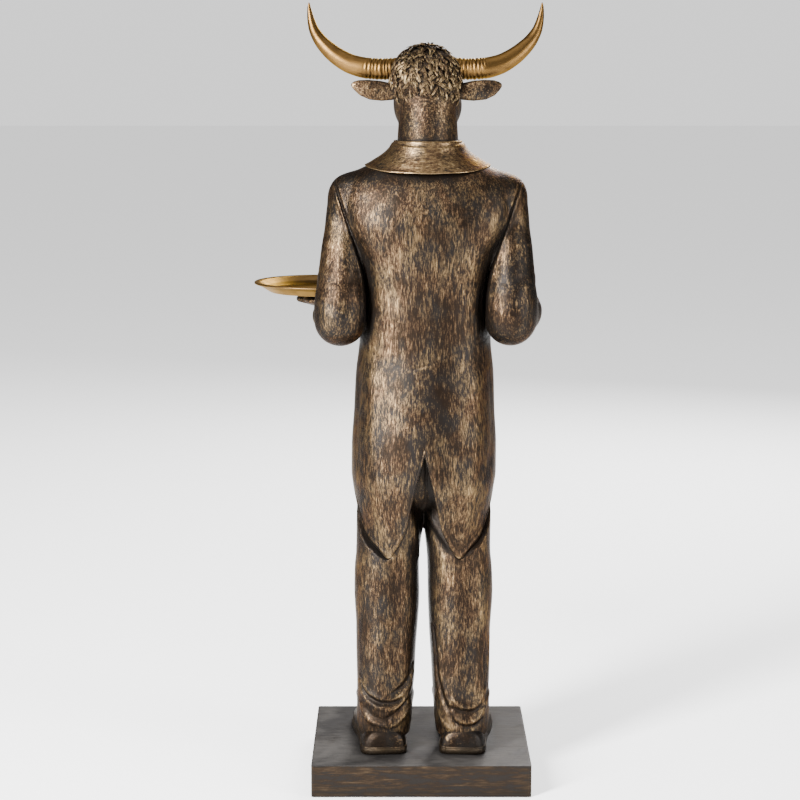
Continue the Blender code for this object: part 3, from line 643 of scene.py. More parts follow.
def coat():
    """Body of the tailcoat with its tails, edges and soft folds."""
    fine = np.linspace(0, 180, 3601)
    walk = np.concatenate([[0], np.cumsum(np.hypot(np.diff(fine) * 1.5, np.diff(curve(HEM_ROWS)(fine))))])
    half = np.interp(np.linspace(0, walk[-1], 148), walk, fine)
    angles = np.radians(np.concatenate([-half[:0:-1], half[:-1]]))
    hems = curve(HEM_ROWS)(np.abs(np.degrees(angles)))
    inner = np.maximum(HOLLOW_TOP, hems + CLOTH) - hems
    rows = [(np.full(len(angles), z), 0.0) for z in np.linspace(COAT_TOP, WAIST_Z, 116)]
    rows += [(WAIST_Z + (hems - WAIST_Z) * share, 0.0) for share in np.linspace(0, 1, 122)[1:]]
    rows += [(hems - down, inset) for inset, down in HEM_LIP]
    rows += [(hems + inner * share, CLOTH) for share in (0.15, 0.3, 0.5, 0.75, 1.0)]
    rings = []
    for z, inset in rows:
        relief = -inset if inset else outer_relief(angles, z, hems)
        rings.append(coat_surface(angles, z, relief))
    return closed_loft("coat", rings)


def outer_relief(angles, z, hems):
    """Folds, armhole seam and rolled hem of the coat's outside."""
    above = z - hems
    edge = 0.7 * bell(above - 5.0, 2.4) - 0.45 * bell(above - 10, 2.4)
    plain = coat_surface(angles, z)
    return coat_relief(angles, z) + edge + armhole_relief(plain[:, 0], plain[:, 1], z)


def coat_front(x, height, proud):
    """Points of the coat's front at distance x from the middle."""
    share = np.minimum(np.abs(x) / curve(COAT_ROWS, 1)(height), 0.98)
    deep = curve(COAT_ROWS, 3)(height) * (1 - share**COAT_SQUARENESS) ** (1 / COAT_SQUARENESS)
    return np.stack([x, -(deep + proud), height], axis=-1)


# Section of a plate on the coat's front: share of the way across, and how proud it is

PLATE_SECTION = [
    (0.0, -1.0), (0.012, 0.45), (0.04, 0.92), (0.1, 1.12), (0.2, 1.0), (0.32, 0.85), (0.44, 0.75),
    (0.56, 0.72), (0.68, 0.75), (0.8, 0.9), (0.9, 1.12), (0.96, 0.92), (0.988, 0.45), (1.0, -1.0),
]
PLATE_SUNK = 3.0


def front_plate(name, rows, side, proud):
    """A thin plate on the coat's front, between an inner and an outer edge, with a rolled rim."""
    heights = np.linspace(rows[0][0], rows[-1][0], 150)
    places, *edges = np.array(sorted(rows), float).T
    inner, outer = (np.interp(heights, places, edge) for edge in edges)
    rings = []
    for share, up in PLATE_SECTION:
        x = side * (inner + (outer - inner) * share)
        rings.append(coat_front(x, heights, proud * up if up > 0 else -PLATE_SUNK))
    return closed_loft(name, np.array(rings).transpose(1, 0, 2))


class Points:
    """Loose points that the distance functions can be asked about."""

    def __init__(self, x, y, z):
        self.x, self.y, self.z = np.broadcast_arrays(*(np.asarray(v, np.float32) for v in (x, y, z)))


def arm_distance(f, forearm, side):
    upper = path_points([(side * r[0], *r[1:]) for r in UPPER_ARM], 26)
    lower = path_points([(side * r[0], *r[1:]) for r in forearm], 26)
    (out, back, height), reach = SHOULDER
    arm = smooth_least(ellipsoid(f, (side * out, back, height), reach), rope(f, upper), 5.0)
    return smooth_least(arm, rope(f, lower), 6.0)


def coat_distance(f):
    """Distance to the coat's body, with its fuller back corners."""
    half, back, front = (curve(COAT_ROWS, k)(f.z) for k in (1, 2, 3))
    deep = np.where(f.y > 0, back, front)
    cosine = np.where(f.y > 0, (np.abs(f.y) / deep) ** (COAT_SQUARENESS / 2), 0)
    wider, squarer = back_corner(np.clip(cosine, 0, 1), f.z)
    power = COAT_SQUARENESS + squarer
    half = half + wider
    share = rounded(f.x / half, f.y / deep, power)
    return np.maximum((share - 1) * np.minimum(half, deep) * 0.9, f.z - COAT_TOP).astype(np.float32)


def shoulder_field(f, forearm, side):
    """Sleeve that flows into the coat at the shoulder and parts from it further down."""
    arm = arm_distance(f, forearm, side)
    blend = 1.5 + 13 * smooth_step(f.z, 672, 742)
    return np.maximum(smooth_least(arm, coat_distance(f) + 0.5, blend), arm - 17).astype(np.float32)


TAIL_STEP = 2.4
LOWEST_HEM = 255


def hem_above(x, y, z):
    """Height of the coat's hem over each point."""
    across = powered(x / curve(COAT_ROWS, 1)(z), COAT_SQUARENESS / 2)
    back = powered(y / curve(COAT_ROWS, 2)(z), COAT_SQUARENESS / 2)
    return curve(HEM_ROWS)(np.abs(np.degrees(np.arctan2(across, back))))


def under_coat(f):
    """Keeps the trousers inside the coat's cloth above its hem."""
    inside = smooth_step(f.z - hem_above(f.x, f.y, f.z), -7, 0)
    behind = coat_distance(f) + TAIL_STEP - 14 * (1 - inside)
    return np.where(f.z > LOWEST_HEM, behind, -20).astype(np.float32)


def shade_under_tails(made):
    """Paints shade on the trousers behind and just below the coat's hem, by lowering their relief there."""
    x, y, z = ((coordinates(made.data) - (0, 0, SOLE_Z)) / PART).T
    below = np.maximum(hem_above(x, y, z) - z, 0)
    relief = np.empty(len(z), np.float32)
    made.data.attributes["relief"].data.foreach_get("value", relief)
    keep_relief(made, relief - 1.0 * np.exp(-below / 5))


# Folds of the left sleeve, which the right one mirrors: height, half width and a line of points

SLEEVE_FOLDS = [
    (-0.9, 6.0, [(88, 60, 642), (104, 67, 630), (122, 64, 634), (140, 50, 650)]),
    (0.8, 6.5, [(86, 64, 628), (104, 72, 616), (124, 69, 620), (142, 54, 634)]),
    (-0.8, 5.0, [(90, 70, 604), (106, 77, 598), (124, 72, 602)]),
    (0.9, 5.0, [(98, 76, 590), (112, 78, 584), (128, 70, 590)]),
    (1.0, 8.0, [(100, 40, 700), (104, 50, 672), (102, 62, 640)]),
    (-0.8, 7.0, [(118, 40, 706), (124, 50, 676), (126, 58, 650)]),
    (-1.6, 4.5, [(138, 40, 622), (146, 18, 606), (144, -2, 590)]),
    (1.0, 5.0, [(140, 34, 634), (148, 12, 618), (145, -10, 600)]),
    (-1.6, 4.0, [(132, 14, 644), (140, 0, 622), (140, -18, 600)]),
    (-1.6, 3.5, [(128, -6, 600), (112, -10, 606), (96, -8, 598)]),
    (-1.1, 3.5, [(140, -40, 562), (124, -46, 598), (104, -44, 590)]),
    (0.8, 4.0, [(142, -30, 568), (126, -36, 602), (102, -34, 594)]),
]
SLEEVE_BLOCKS = {1: ((52, -112, 535), (158, 88, 776)), -1: ((-158, -130, 535), (-30, 88, 776))}


def sleeve(name, forearm, side):
    """Upper arm, elbow and forearm as one surface, with folds at the elbow."""
    f = Field(*SLEEVE_BLOCKS[side], CLOTH_GRID)
    f.d = shoulder_field(f, forearm, side) - armhole_relief(f.x, f.y, f.z)
    for size, wide, line in SLEEVE_FOLDS:
        points = np.array(line, float) * (side, 1, 1)
        near = (f.z > points[:, 2].min() - 4 * wide) & (f.z < points[:, 2].max() + 4 * wide)
        spot = Points(f.x[near], f.y[near], f.z[near])
        f.d[near] -= size * bell(rope(spot, np.column_stack([points, np.zeros(len(points))])), wide)
    f.d = f.d.astype(np.float32)
    return f.surface(name, 150000)


# Section of a sleeve's hem and the shirt's cuff: distance past the forearm's end, and added radius

CUFF_SECTION = [
    (-8, -1), (-4, 0.4), (4, 1.3), (6.5, 1.6), (7.4, 0.9), (8.2, 1.6), (12, 1.7), (13.4, 1.2),
    (13.9, 0), (13.6, -2), (12.5, -3.6), (13.4, -4.0), (20, -4.0), (21.2, -4.6), (21.4, -6),
    (20.0, -7.5),
]


def cuff(name, forearm, side):
    """Sleeve end with its hem, and the shirt cuff inside it."""
    rows = np.array([(side * r[0], *r[1:]) for r in forearm], float)
    end, before, radius = rows[-1, :3], rows[-2, :3], rows[-1, 3]
    along = (end - before) / np.linalg.norm(end - before)
    circle = tube_rings(np.array([(*(end + along * d), 1.0) for d in (0, 10)]), 72)[0] - end
    return closed_loft(name, [end + along * d + circle * (radius + more) for d, more in CUFF_SECTION])


# Fingers from the first to the last, and the thumb: length and radius

FINGERS = [(34, 6.1), (38, 6.4), (36, 6.2), (29, 5.6)]
THUMB = (28, 6.9)


def tray_hand():
    """Left hand, palm up under the tray."""
    f = Field((85, -215, 545), (200, -70, 606), 1.1)
    wrist = np.array((129, -94, 567.5))
    palm = np.array((TRAY_CENTRE[0] - 2, TRAY_CENTRE[1] + 18, TRAY_SEAT - 8.5))
    middle = (wrist + palm) / 2
    f.add(rope(f, np.array([(*wrist, 15), (*middle, 13.5), (*palm, 9)]), 0.85))
    f.add(ellipsoid(f, palm, (24, 27, 8.5)), 4.0)
    for k, size in enumerate(FINGERS):
        spread = (1.5 - k) / 1.5
        start = palm + (spread * 15, -16, -1.5)
        path = finger_path(start, (spread * 0.4, -1, 0.02), (1, 0, 0), size, 1.5)
        f.add(rope(f, path, 0.92), 2.0)
    thumb = finger_path(palm + (8, 4, -2.5), (1, -0.8, 0.03), (0, 1, 0), THUMB, -1)
    f.add(rope(f, thumb, 0.9), 3.0)
    f.d = np.maximum(f.d, f.z - (TRAY_SEAT - 0.3))
    return f.surface("tray_hand", 60000)


def folded_hand():
    """Right hand, laid across the waist with curled fingers."""
    f = Field((-62, -135, 560), (62, -55, 632), 1.0)
    wrist = np.array((-50, -93, 596.0))
    palm = wrist + (40, -6, 1)
    f.add(rope(f, np.array([(*wrist, 17), (*((wrist + palm) / 2), 16), (*palm, 16)])))
    f.add(ellipsoid(f, palm, (21, 12, 21)), 4.0)
    for k, size in enumerate(FINGERS):
        start = palm + (12, -1, 14 - 9.3 * k)
        f.add(rope(f, finger_path(start, (1, -0.25, 0.03 * k), (0, 0, 1), size, 31 + 3 * k)), 1.2)
    thumb = finger_path(palm + (-2, -6, 15), (1, -0.5, 0.15), (0, 0, 1), THUMB, 12)
    f.add(rope(f, thumb), 2.5)
    return f.surface("folded_hand", 60000)


# Forms on the left of the face: middle, reach, tilt and turn, and blend

FACE = {
    "cheek": ((30, -16, 853), (13.5, 27, 20), (0.45, 0), 8.0),
    "brow": ((29.5, -41, 884), (13, 18, 7.5), (0.5, 0.5), 7.0),
    "socket": ((41, -48, 872), (7, 11, 8), (0, 0), 4.0),
    "eyeball": ((35, -46.5, 872), (7.2, 8.8, 7.6), (0, 0), 0.3),
    "upper_lid": ((34, -46, 878.6), (8.7, 11.5, 3.4), (0.35, 0.35), 1.2),
    "lower_lid": ((33.4, -46, 865.6), (8.4, 10.5, 2.8), (0.5, -0.3), 1.2),
    "muzzle": ((18, -135, 818), (11.5, 8.5, 9.5), (0.5, 0.3), 4.0),
    "nostril": ((18, -144.5, 819), (6.0, 7.5, 4.2), (0.3, 0.5), 1.5),
}
CHIN = ((0, -112, 793), (20, 21, 9), (0.3, 0, 0))
MOUTH = [(0, -150, 797.5), (24, -141, 799), (37, -119, 804.5), (41, -94, 815)]
MOUTH_RADIUS = 1.4
MUZZLE_SLOPE_DEGREES = 30
MUZZLE_SQUARENESS = 2.25


def head():
    """Head and neck, with brows, eyes, nostrils, mouth and ears."""
    f = Field((-104, -152, 790), (104, 52, 936), 1.33)
    f.add(stack(f, NECK_ROWS, 2.1))
    f.add(snout(f, path_points(HEAD_ROWS, 40)), 9.0)
    for side in (1, -1):
        for form, ((x, y, z), reach, (tilt, turn), blend) in FACE.items():
            change = f.cut if form in ("socket", "nostril") else f.add
            change(ellipsoid(f, (side * x, y, z), reach, (tilt, side * turn, 0)), blend)
        f.add(ear(f, side), 3.0)
    f.add(ellipsoid(f, *CHIN), 6.0)
    for side in (1, -1):
        line = np.column_stack([np.array(MOUTH, float) * (side, 1, 1), np.full(len(MOUTH), MOUTH_RADIUS)])
        f.cut(rope(f, path_points(line, 14)), 1.2)
    wrinkles = np.sin(f.y / 6.5 + f.z / 9) * smooth_step(-f.y, 84, 100) * smooth_step(f.z, 812, 830)
    f.d = f.d + (0.245 * wrinkles).astype(np.float32)
    return f.surface("head", 180000)


def snout(f, rows):
    """Distance to the tilted rings of the skull and muzzle."""
    slope = np.radians(MUZZLE_SLOPE_DEGREES)
    axis = np.array((-np.cos(slope), -np.sin(slope)))
    rows = rows[np.argsort(rows[:, :2] @ axis)]
    along = rows[:, :2] @ axis
    s = f.y * axis[0] + f.z * axis[1]
    y0, z0, half, high, lean = (np.interp(s, along, rows[:, k]) for k in range(5))
    lean = np.radians(lean)
    rise = (f.z - z0) * np.cos(lean) - (f.y - y0) * np.sin(lean)
    share = rounded(f.x / half, rise / high, MUZZLE_SQUARENESS)
    ends = np.maximum(along[0] - s, s - along[-1])
    return np.maximum((share - 1) * np.minimum(half, high) * 0.9, ends).astype(np.float32)


def ear(f, side):
    """Distance to one ear, hollow at the front."""
    rows = np.array(EAR_ROWS, float)
    out = side * f.x
    back, height, half, thick = (np.interp(out, rows[:, 0], rows[:, k]) for k in (1, 2, 3, 4))
    rise, deep = (f.z - height) / half, f.y - back
    shell = (np.hypot(rise, deep / thick) - 1) * thick
    scoop = deep + 1.5 * thick + 2.5 - 4.5 * (1 - np.clip(rise, -1, 1)**2)
    shell = np.maximum(shell, np.where(out > 46, -scoop, -9))
    return np.maximum(shell, np.maximum(30 - out, out - 98.3)).astype(np.float32)


def horn(side):
    """Horn with uneven growth rings by the head and fine lengthwise grain."""
    path = path_points(HORN_ROWS, 280)
    path[:, 0] *= side
    out = np.abs(path[:, 0])
    near_head = smooth_step(-out, -83, -70) * smooth_step(out, 36, 44)
    uneven = 0.75 + 0.25 * np.sin(out * 0.9 + side)
    phase = out * 2 * np.pi / 4.6 + 0.7 * np.sin(out * 0.35 + side)
    ringed = 1 - 0.075 * near_head * uneven * (0.5 + 0.5 * np.sin(phase))**3
    ringed += 0.02 * near_head * np.maximum(0, -np.sin(phase))
    path[:, 3] *= ringed

    def grain(i, turns):
        wave = 0.006 * np.sin(turns * 9 + path[i, 0] * 0.05) + 0.004 * np.sin(turns * 17 + i * 0.02)
        return 1 + wave + 0.012 * near_head[i] * np.sin(turns * 3 + out[i] * 0.8)

    return closed_loft(f"horn_{hand_of(side)}", tube_rings(path, 50, grain))


HAIR_TUFTS = 1150
STRAND_STEPS = 8
STRAND_SIDES = 5
STRAND_SHARES = np.arange(STRAND_STEPS) / (STRAND_STEPS - 1)
STRAND_SPIN = np.arange(STRAND_SIDES) * 2 * np.pi / STRAND_SIDES + np.pi / 2
SCALP_SHARE = 0.97
CAP_SHARE = 0.965
GOLDEN_TURN = math.pi * (3 - math.sqrt(5))


def bald(out):
    """Whether a direction from the head's middle meets a horn, an ear, the face or the throat."""
    at_horn = abs(out[0]) > 0.94 and 0.08 < out[2] < 0.6
    at_ear = abs(out[0]) > 0.88 and out[2] <= 0.0
    on_face = out[1] < -0.25 and out[2] < 0.42
    return at_horn or at_ear or on_face or (out[1] < 0.2 and out[2] < -0.2)


def falling(out, turn, swing):
    """Direction of a tuft down the scalp, swung to one side."""
    fall = np.array((0.25 * math.sin(turn * 3), 0.35, -1.0))
    fall -= out * out.dot(fall)
    fall /= np.linalg.norm(fall)
    return fall * math.cos(swing) + np.cross(out, fall) * math.sin(swing)


def strand_rings(out, down, habit, strand):
    """Rings of one strand of a tuft, from its root to its point, kept out of the scalp."""
    centre, reach = np.array(HAIR_CENTRE, float), np.array(HAIR_CAP, float)
    length, phase, spread, curl, lift = habit
    across = np.cross(out, down)
    root = centre + out * reach * SCALP_SHARE - down * length * 0.3
    section = np.outer(np.cos(STRAND_SPIN), across) + 1.25 * np.outer(np.sin(STRAND_SPIN), out)
    rings = []
    for t in STRAND_SHARES:
        bend = strand * spread * (1.0 + 1.4 * t * (1 - t))
        bend += 0.8 * math.sin(3.6 * t + phase) + 2.4 * curl * t * t
        rise = (1.3 * math.sin(math.pi * t) + 1.9 * t * t) * lift + 0.3 * strand * strand
        middle = root + down * length * t + across * bend + out * rise
        sunk = np.linalg.norm((middle - centre) / reach)
        if sunk < SCALP_SHARE:
            middle = centre + (middle - centre) * SCALP_SHARE / sunk
        size = (0.78 + 0.2 * math.sin(phase + strand)) * (1 - t**1.7) * (0.75 + 0.5 * t) + 0.05
        rings.append(middle + size * section)
    return rings


def hair_locks():
    """Tufts of pointed, wavy strands over the crown and the back of the head."""
    points, faces, heights = [], [], []
    for k in range(HAIR_TUFTS):
        up = 1 - 1.72 * (k + 0.5) / HAIR_TUFTS
        turn = GOLDEN_TURN * k
        flat = math.sqrt(max(0.0, 1 - up * up))
        out = np.array((math.sin(turn) * flat, math.cos(turn) * flat, up)) + rng.normal(0, 0.04, 3)
        out /= np.linalg.norm(out)
        swing, curl, lift = rng.uniform(-0.95, 0.95), rng.uniform(-1, 1), rng.uniform(0.2, 2.4)
        length, phase, spread = rng.uniform(11, 21), rng.uniform(0, 6.28), rng.uniform(0.5, 1.3)
        tone = rng.uniform(-0.45, 0.35)
        if bald(out):
            continue
        down = falling(out, turn, swing)
        for strand in (-1, 0, 1):
            first = len(points) * STRAND_SIDES
            points += strand_rings(out, down, (length, phase, spread, curl, lift), strand)
            for t in STRAND_SHARES:
                heights.append(np.clip(0.55 * np.sin(STRAND_SPIN) - 0.75 + 1.1 * t + tone, -1, 1))
            last = (len(points) - 1) * STRAND_SIDES
            faces.append(grid_faces(STRAND_STEPS, STRAND_SIDES, True, first))
            faces.append(np.array([np.arange(first + 3, first - 1, -1), np.arange(last, last + 4)]))
    locks = mesh_object("hair_locks", np.concatenate(points), np.concatenate(faces))
    close_ends(locks)
    keep_relief(locks, np.concatenate(heights))
    return locks


def hair_cap():
    """Cap under the tufts, darkened between them by the painted shade of its material."""
    turn = full_turn(64)
    rings = []
    for polar in np.radians(np.linspace(3, 128, 40)):
        flat = math.sin(polar)
        ring = np.stack([np.sin(turn) * flat, np.cos(turn) * flat, np.full(64, math.cos(polar))], axis=1)
        rings.append(HAIR_CENTRE + np.array(HAIR_CAP) * CAP_SHARE * ring)
    return closed_loft("hair_cap", rings)


# Section of the coat's collar: share of the way from its top to its foot, and how far it stands out

COLLAR_SECTION = [
    (-0.02, -7), (-0.035, -3.5), (-0.02, -1.4), (0.02, 0.4), (0.08, 0.9), (0.16, 0.6), (0.25, 0.2),
    (0.35, 0.0), (0.45, -0.1), (0.55, 0.0), (0.65, 0.2), (0.75, 0.5), (0.83, 0.3), (0.89, 0.1),
    (0.94, 0.7), (0.975, 0.9), (1.0, 0.1), (1.01, -1.4), (1.0, -4.0),
]
COLLAR_WALL = 14
COLLAR_SQUARENESS = 2.1


def coat_collar():
    """Turned-down collar with a rolled fold at its top and a rolled edge at its foot."""
    last = COLLAR_ROWS[-1][0]
    degrees = np.linspace(-last, last, 260)
    top, foot = curve(COLLAR_ROWS, 1)(np.abs(degrees)), curve(COLLAR_ROWS, 2)(np.abs(degrees))
    angle = np.radians(degrees)
    rings = []
    for share, out in COLLAR_SECTION:
        flare = min(max(share, 0.0), 1.0)**1.5
        reach = [t + (g - t) * flare + out for t, g in zip(COLLAR_TOP_REACH, COLLAR_FOOT_REACH)]
        rings.append(collar_ring(angle, reach, top + (foot - top) * share))
    inside = [t - COLLAR_WALL for t in COLLAR_TOP_REACH]
    rings += [collar_ring(angle, inside, foot - 4), collar_ring(angle, inside, top - 2)]
    return closed_loft("coat_collar", np.array(rings).transpose(1, 0, 2))


def collar_ring(angle, reach, z):
    x = reach[0] * powered(np.sin(angle), 2 / COLLAR_SQUARENESS)
    y = np.where(np.cos(angle) > 0, reach[1], reach[2]) * powered(np.cos(angle), 2 / COLLAR_SQUARENESS)
    return np.stack([x, y, z], axis=-1)


# Section of the shirt's collar: height, and added reach

SHIRT_COLLAR_SECTION = [
    (780, 0), (790, 0.3), (800, 0.5), (806, 0.8), (809, 0.8), (810.4, 0.3), (811, -0.8),
    (810.4, -2.2), (807, -3.2), (803, -3.6),
]


def shirt_collar():
    angle = np.linspace(-np.pi, np.pi, 141)[:-1]
    rings = []
    for z, more in SHIRT_COLLAR_SECTION:
        rings.append(collar_ring(angle, [r + more for r in SHIRT_COLLAR_REACH], np.full(140, z)))
    return closed_loft("shirt_collar", rings)


BOW_Z = 783
BOW_Y = -49


def bow_tie():
    turn = full_turn(32)
    made = []
    for side in (1, -1):
        rings = []
        for out in np.linspace(2, 27, 26):
            pleat = 1 + 0.10 * np.cos(turn * 6) * math.exp(-out / 12)
            half = np.interp(out, [2, 9, 20, 27], [4, 8, 12.5, 13]) * pleat
            deep = np.interp(out, [2, 9, 20, 25, 27], [4, 5, 5.5, 4.6, 2.5]) * pleat
            rings.append(np.stack([np.full(32, side * out), BOW_Y + out * 0.3 + deep * np.cos(turn),
                                   BOW_Z + half * powered(np.sin(turn), 0.8)], axis=1))
        made.append(closed_loft(f"bow_wing_{hand_of(side)}", rings))
    knot = []
    for z in np.linspace(-1, 1, 15):
        r = 7 * (1 - abs(z)**3 * 0.5)
        knot.append(np.stack([r * powered(np.sin(turn), 0.8), BOW_Y + r * powered(np.cos(turn), 0.8),
                              np.full(32, BOW_Z + 7.5 * z)], axis=1))
    return [*made, closed_loft("bow_knot", knot)]


# Section of a button: radius and how proud it is

BUTTON_SECTION = [
    (4.2, -4), (4.3, 1.6), (4.2, 2.4), (3.8, 2.9), (3.3, 2.9), (3.0, 2.4), (2.0, 2.5), (0.8, 2.9),
]
BUTTONS = [(0, 690), (0, 665), (0, 640), (33, 618), (29, 585), (-33, 618), (-29, 585)]


def button(number):
    x, height = np.array(BUTTONS[number], float)
    face = coat_front(x, height, 0.0)
    turn = full_turn(28)
    rings = []
    for radius, out in BUTTON_SECTION:
        ring = np.stack([radius * np.cos(turn), np.full(28, -out), radius * np.sin(turn)], axis=1)
        rings.append(face + ring)
    return closed_loft(f"button_{number}", rings)


# Edge of a sole: share of its thickness, and how far it stands out

SOLE_EDGE = [(0, -0.8), (0.08, 0), (0.72, 0), (0.84, -0.6), (0.96, 0)]
SOLE_TOP_SHARE = 0.965
SOLE_MIDDLE = (0, -8)
SOLE_THICKNESS = 5
HEEL_THICKNESS = 10
HEEL_LENGTH = 44
WELT = 0.9


def toed_out(rings, side):
    """Rings of a shoe turned outwards round its heel and set in their place."""
    turn = math.radians(TOE_OUT_DEGREES * side)
    pivot = SHOE_ROWS[2][0]
    x, y, z = np.moveaxis(np.array(rings), -1, 0)
    y = y - pivot
    return np.stack([x * math.cos(turn) - y * math.sin(turn) + side * SHOE_CENTRE,
                     x * math.sin(turn) + y * math.cos(turn) + pivot, z], axis=-1)


def shoe_upper(side):
    """Upper with a toe seam."""
    arch = np.linspace(0, np.pi, 41)
    rings = []
    for back, half, top in path_points(SHOE_ROWS, 70):
        seam = 0.8 * math.exp(-((back + 50) / 1.6)**2)
        x = (half - seam * 0.5) * powered(np.cos(arch), 0.7)
        z = 1.5 + (top - seam - 1.5) * np.abs(np.sin(arch))**0.7
        rings.append(np.stack([x, np.full(41, back), z], axis=1))
    return closed_loft(f"shoe_{hand_of(side)}", toed_out(rings, side))


def shoe_sole(side):
    """Sole with a welt and a heel."""
    loop = np.array([(half + WELT, back) for back, half, _ in path_points(SHOE_ROWS, 60)])
    loop[0, 1] += 1
    loop[-1, 1] -= 2
    loop = np.concatenate([loop, loop[::-1] * (-1, 1)]) - SOLE_MIDDLE
    outwards = loop / np.linalg.norm(loop, axis=1, keepdims=True)
    heel = loop[:, 1] + SOLE_MIDDLE[1] > SHOE_ROWS[0][0] - HEEL_LENGTH
    top = np.where(heel, HEEL_THICKNESS, SOLE_THICKNESS)
    rings = []
    for share, grow in SOLE_EDGE:
        rings.append(np.column_stack([loop + SOLE_MIDDLE + outwards * grow, top * share]))
    rings.append(np.column_stack([loop * SOLE_TOP_SHARE + SOLE_MIDDLE, top]))
    return closed_loft(f"sole_{hand_of(side)}", toed_out(rings, side))


# Section of the tray, turned round its middle: radius, and height over its seat

TRAY_SECTION = [
    (0.5, 0), (40, 0), (66, 0), (68.6, 0), (70.2, 0.5), (72, 1.5), (78, 5.2), (84, 9.0), (88, 11.5),
    (91.2, 11.6), (92.2, 12.2), (92.5, 13), (92.2, 13.9), (91.4, 14.5), (89.6, 14.5), (87.6, 14.2),
    (85.6, 14.2), (83.5, 13.0), (78, 9.4), (72, 5.0), (69.3, 3.9), (67, 3.2), (64, 3.0), (40, 3.0),
    (0.5, 3.0),
]
TRAY_GAP = 0.0003


def tray():
    """Turned dish with a sloping wall and a rolled lip."""
    turn = full_turn(144)
    across = TRAY_CENTRE[0] + centre_line(TRAY_SEAT)
    rings = []
    for radius, up in TRAY_SECTION:
        x, y = across + radius * np.cos(turn), TRAY_CENTRE[1] + radius * np.sin(turn)
        rings.append(np.stack([x, y, np.full(144, TRAY_SEAT + up)], axis=1))
    points = np.array(rings) * PART
    points[..., 2] += SOLE_Z + TRAY_GAP
    made = mesh_object("serving_tray", points.reshape(-1, 3), grid_faces(*points.shape[:2]), False)
    close_ends(made)
    outward(made)
    return made


def keep_relief(made, height):
    layers = made.data.attributes
    layer = layers.get("relief") or layers.new("relief", "FLOAT", "POINT")
    layer.data.foreach_set("value", np.asarray(height, np.float32))


def relief_of(made, rounds, scale):
    """Stores how far each point stands out of its smoothed surroundings, from -1 to 1."""
    mesh = made.data
    points = coordinates(mesh)
    edges = np.empty(len(mesh.edges) * 2, np.int32)
    mesh.edges.foreach_get("vertices", edges)
    edges = edges.reshape(-1, 2)
    smooth = points
    for _ in range(rounds):
        smooth = 0.4 * smooth + 0.6 * neighbour_means(smooth, edges)
    normals = np.empty(len(points) * 3, np.float32)
    mesh.vertices.foreach_get("normal", normals)
    height = np.einsum("ij,ij->i", points - smooth, normals.reshape(-1, 3)) / scale
    keep_relief(made, np.clip(height, -1, 1))


# Materials


class Nodes:
    """Short names for building a node tree."""

    def __init__(self, name):
        self.material = bpy.data.materials.new(name)
        self.material.use_nodes = True
        self.tree = self.material.node_tree
        self.shader = self.tree.nodes["Principled BSDF"]
        self.place = self.tree.nodes.new("ShaderNodeTexCoord").outputs["Object"]

    def feed(self, socket, value):
        """Gives a socket a link from another node, or a constant."""
        if isinstance(value, bpy.types.NodeSocket):
            self.tree.links.new(value, socket)
        elif socket.type == "RGBA":
            socket.default_value = (*value, 1)
        else:
            socket.default_value = value

    def drive(self, **sockets):
        """Feeds sockets of the shader, each named with _ for a space."""
        for key, value in sockets.items():
            self.feed(self.shader.inputs[key.replace("_", " ")], value)

    def node(self, kind, sockets, **settings):
        """A new node with its settings, and its sockets fed."""
        made = self.tree.nodes.new(kind)
        for key, value in settings.items():
            setattr(made, key, value)
        for key, value in sockets.items():
            self.feed(made.inputs[key], value)
        return made

    def noise(self, scale, detail=4.0, rough=0.55, stretch=(1, 1, 1), distortion=0.0, shift=0.0):
        mapping = self.node("ShaderNodeMapping", {"Vector": self.place, "Scale": stretch,
                                                  "Location": (shift, shift * 0.7, shift * 1.3)})
        return self.node("ShaderNodeTexNoise", {"Vector": mapping.outputs["Vector"], "Scale": scale,
                                                "Detail": detail, "Roughness": rough,
                                                "Distortion": distortion}).outputs["Fac"]

    def math(self, kind, *values):
        return self.node("ShaderNodeMath", dict(enumerate(values)), operation=kind).outputs["Value"]

    def band(self, value, low, high, out_low=0.0, out_high=1.0):
        ends = {"From Min": low, "From Max": high, "To Min": out_low, "To Max": out_high}
        made = self.node("ShaderNodeMapRange", {"Value": value, **ends}, interpolation_type="SMOOTHSTEP")
        return made.outputs["Result"]

    def mix(self, share, a, b):
        made = self.node("ShaderNodeMix", {"Factor": share, "A": a, "B": b}, data_type="RGBA")
        return made.outputs["Result"]

    def attribute(self, name):
        return self.node("ShaderNodeAttribute", {}, attribute_name=name).outputs["Fac"]

    # Ambient occlusion, which the materials use to paint shade where other surfaces are near
    def painted_shade(self, distance):
        return self.node("ShaderNodeAmbientOcclusion", {"Distance": distance}, samples=6).outputs["AO"]

    def bump(self, height, strength, distance):
        bump = self.node("ShaderNodeBump", {"Height": height, "Strength": strength, "Distance": distance})
        self.drive(Normal=bump.outputs["Normal"])


def tinted(colour, share):
    return tuple(share * part for part in colour)


UMBER = (0.0125, 0.0084, 0.0057)
CHARCOAL = (0.0130, 0.0113, 0.0103)
COPPER = (0.082, 0.047, 0.0255)
GOLD = (0.260, 0.170, 0.082)
PALE_GOLD = (0.660, 0.480, 0.255)
EDGE_TINT = (0.40, 0.36, 0.32)
BRASS_EDGE = (0.75, 0.6, 0.42)
HORN_BRASS = ((0.110, 0.060, 0.018), (0.032, 0.017, 0.0065))
TRAY_BRASS = ((0.130, 0.078, 0.031), (0.046, 0.026, 0.012))
SIDE_BROWN = (0.036, 0.024, 0.015)
SIDE_STROKE = (0.130, 0.088, 0.046)
TOP_DARK = (0.024, 0.0225, 0.022)
TOP_RUBBED = (0.055, 0.051, 0.048)
# Colour of the plinth's painted shade, near other surfaces
PLINTH_PAINTED_SHADE = (0.008, 0.007, 0.006)

ROOM_LIGHT = 0.26
BACKDROP_LIGHT = 1.55
CAMERA_PLACE = (0.028, 2.749, 0.953)
CAMERA_PITCH_DEGREES = 9.18
CAMERA_LENS = 93.6

# Area lights: place, height aimed at, size and power

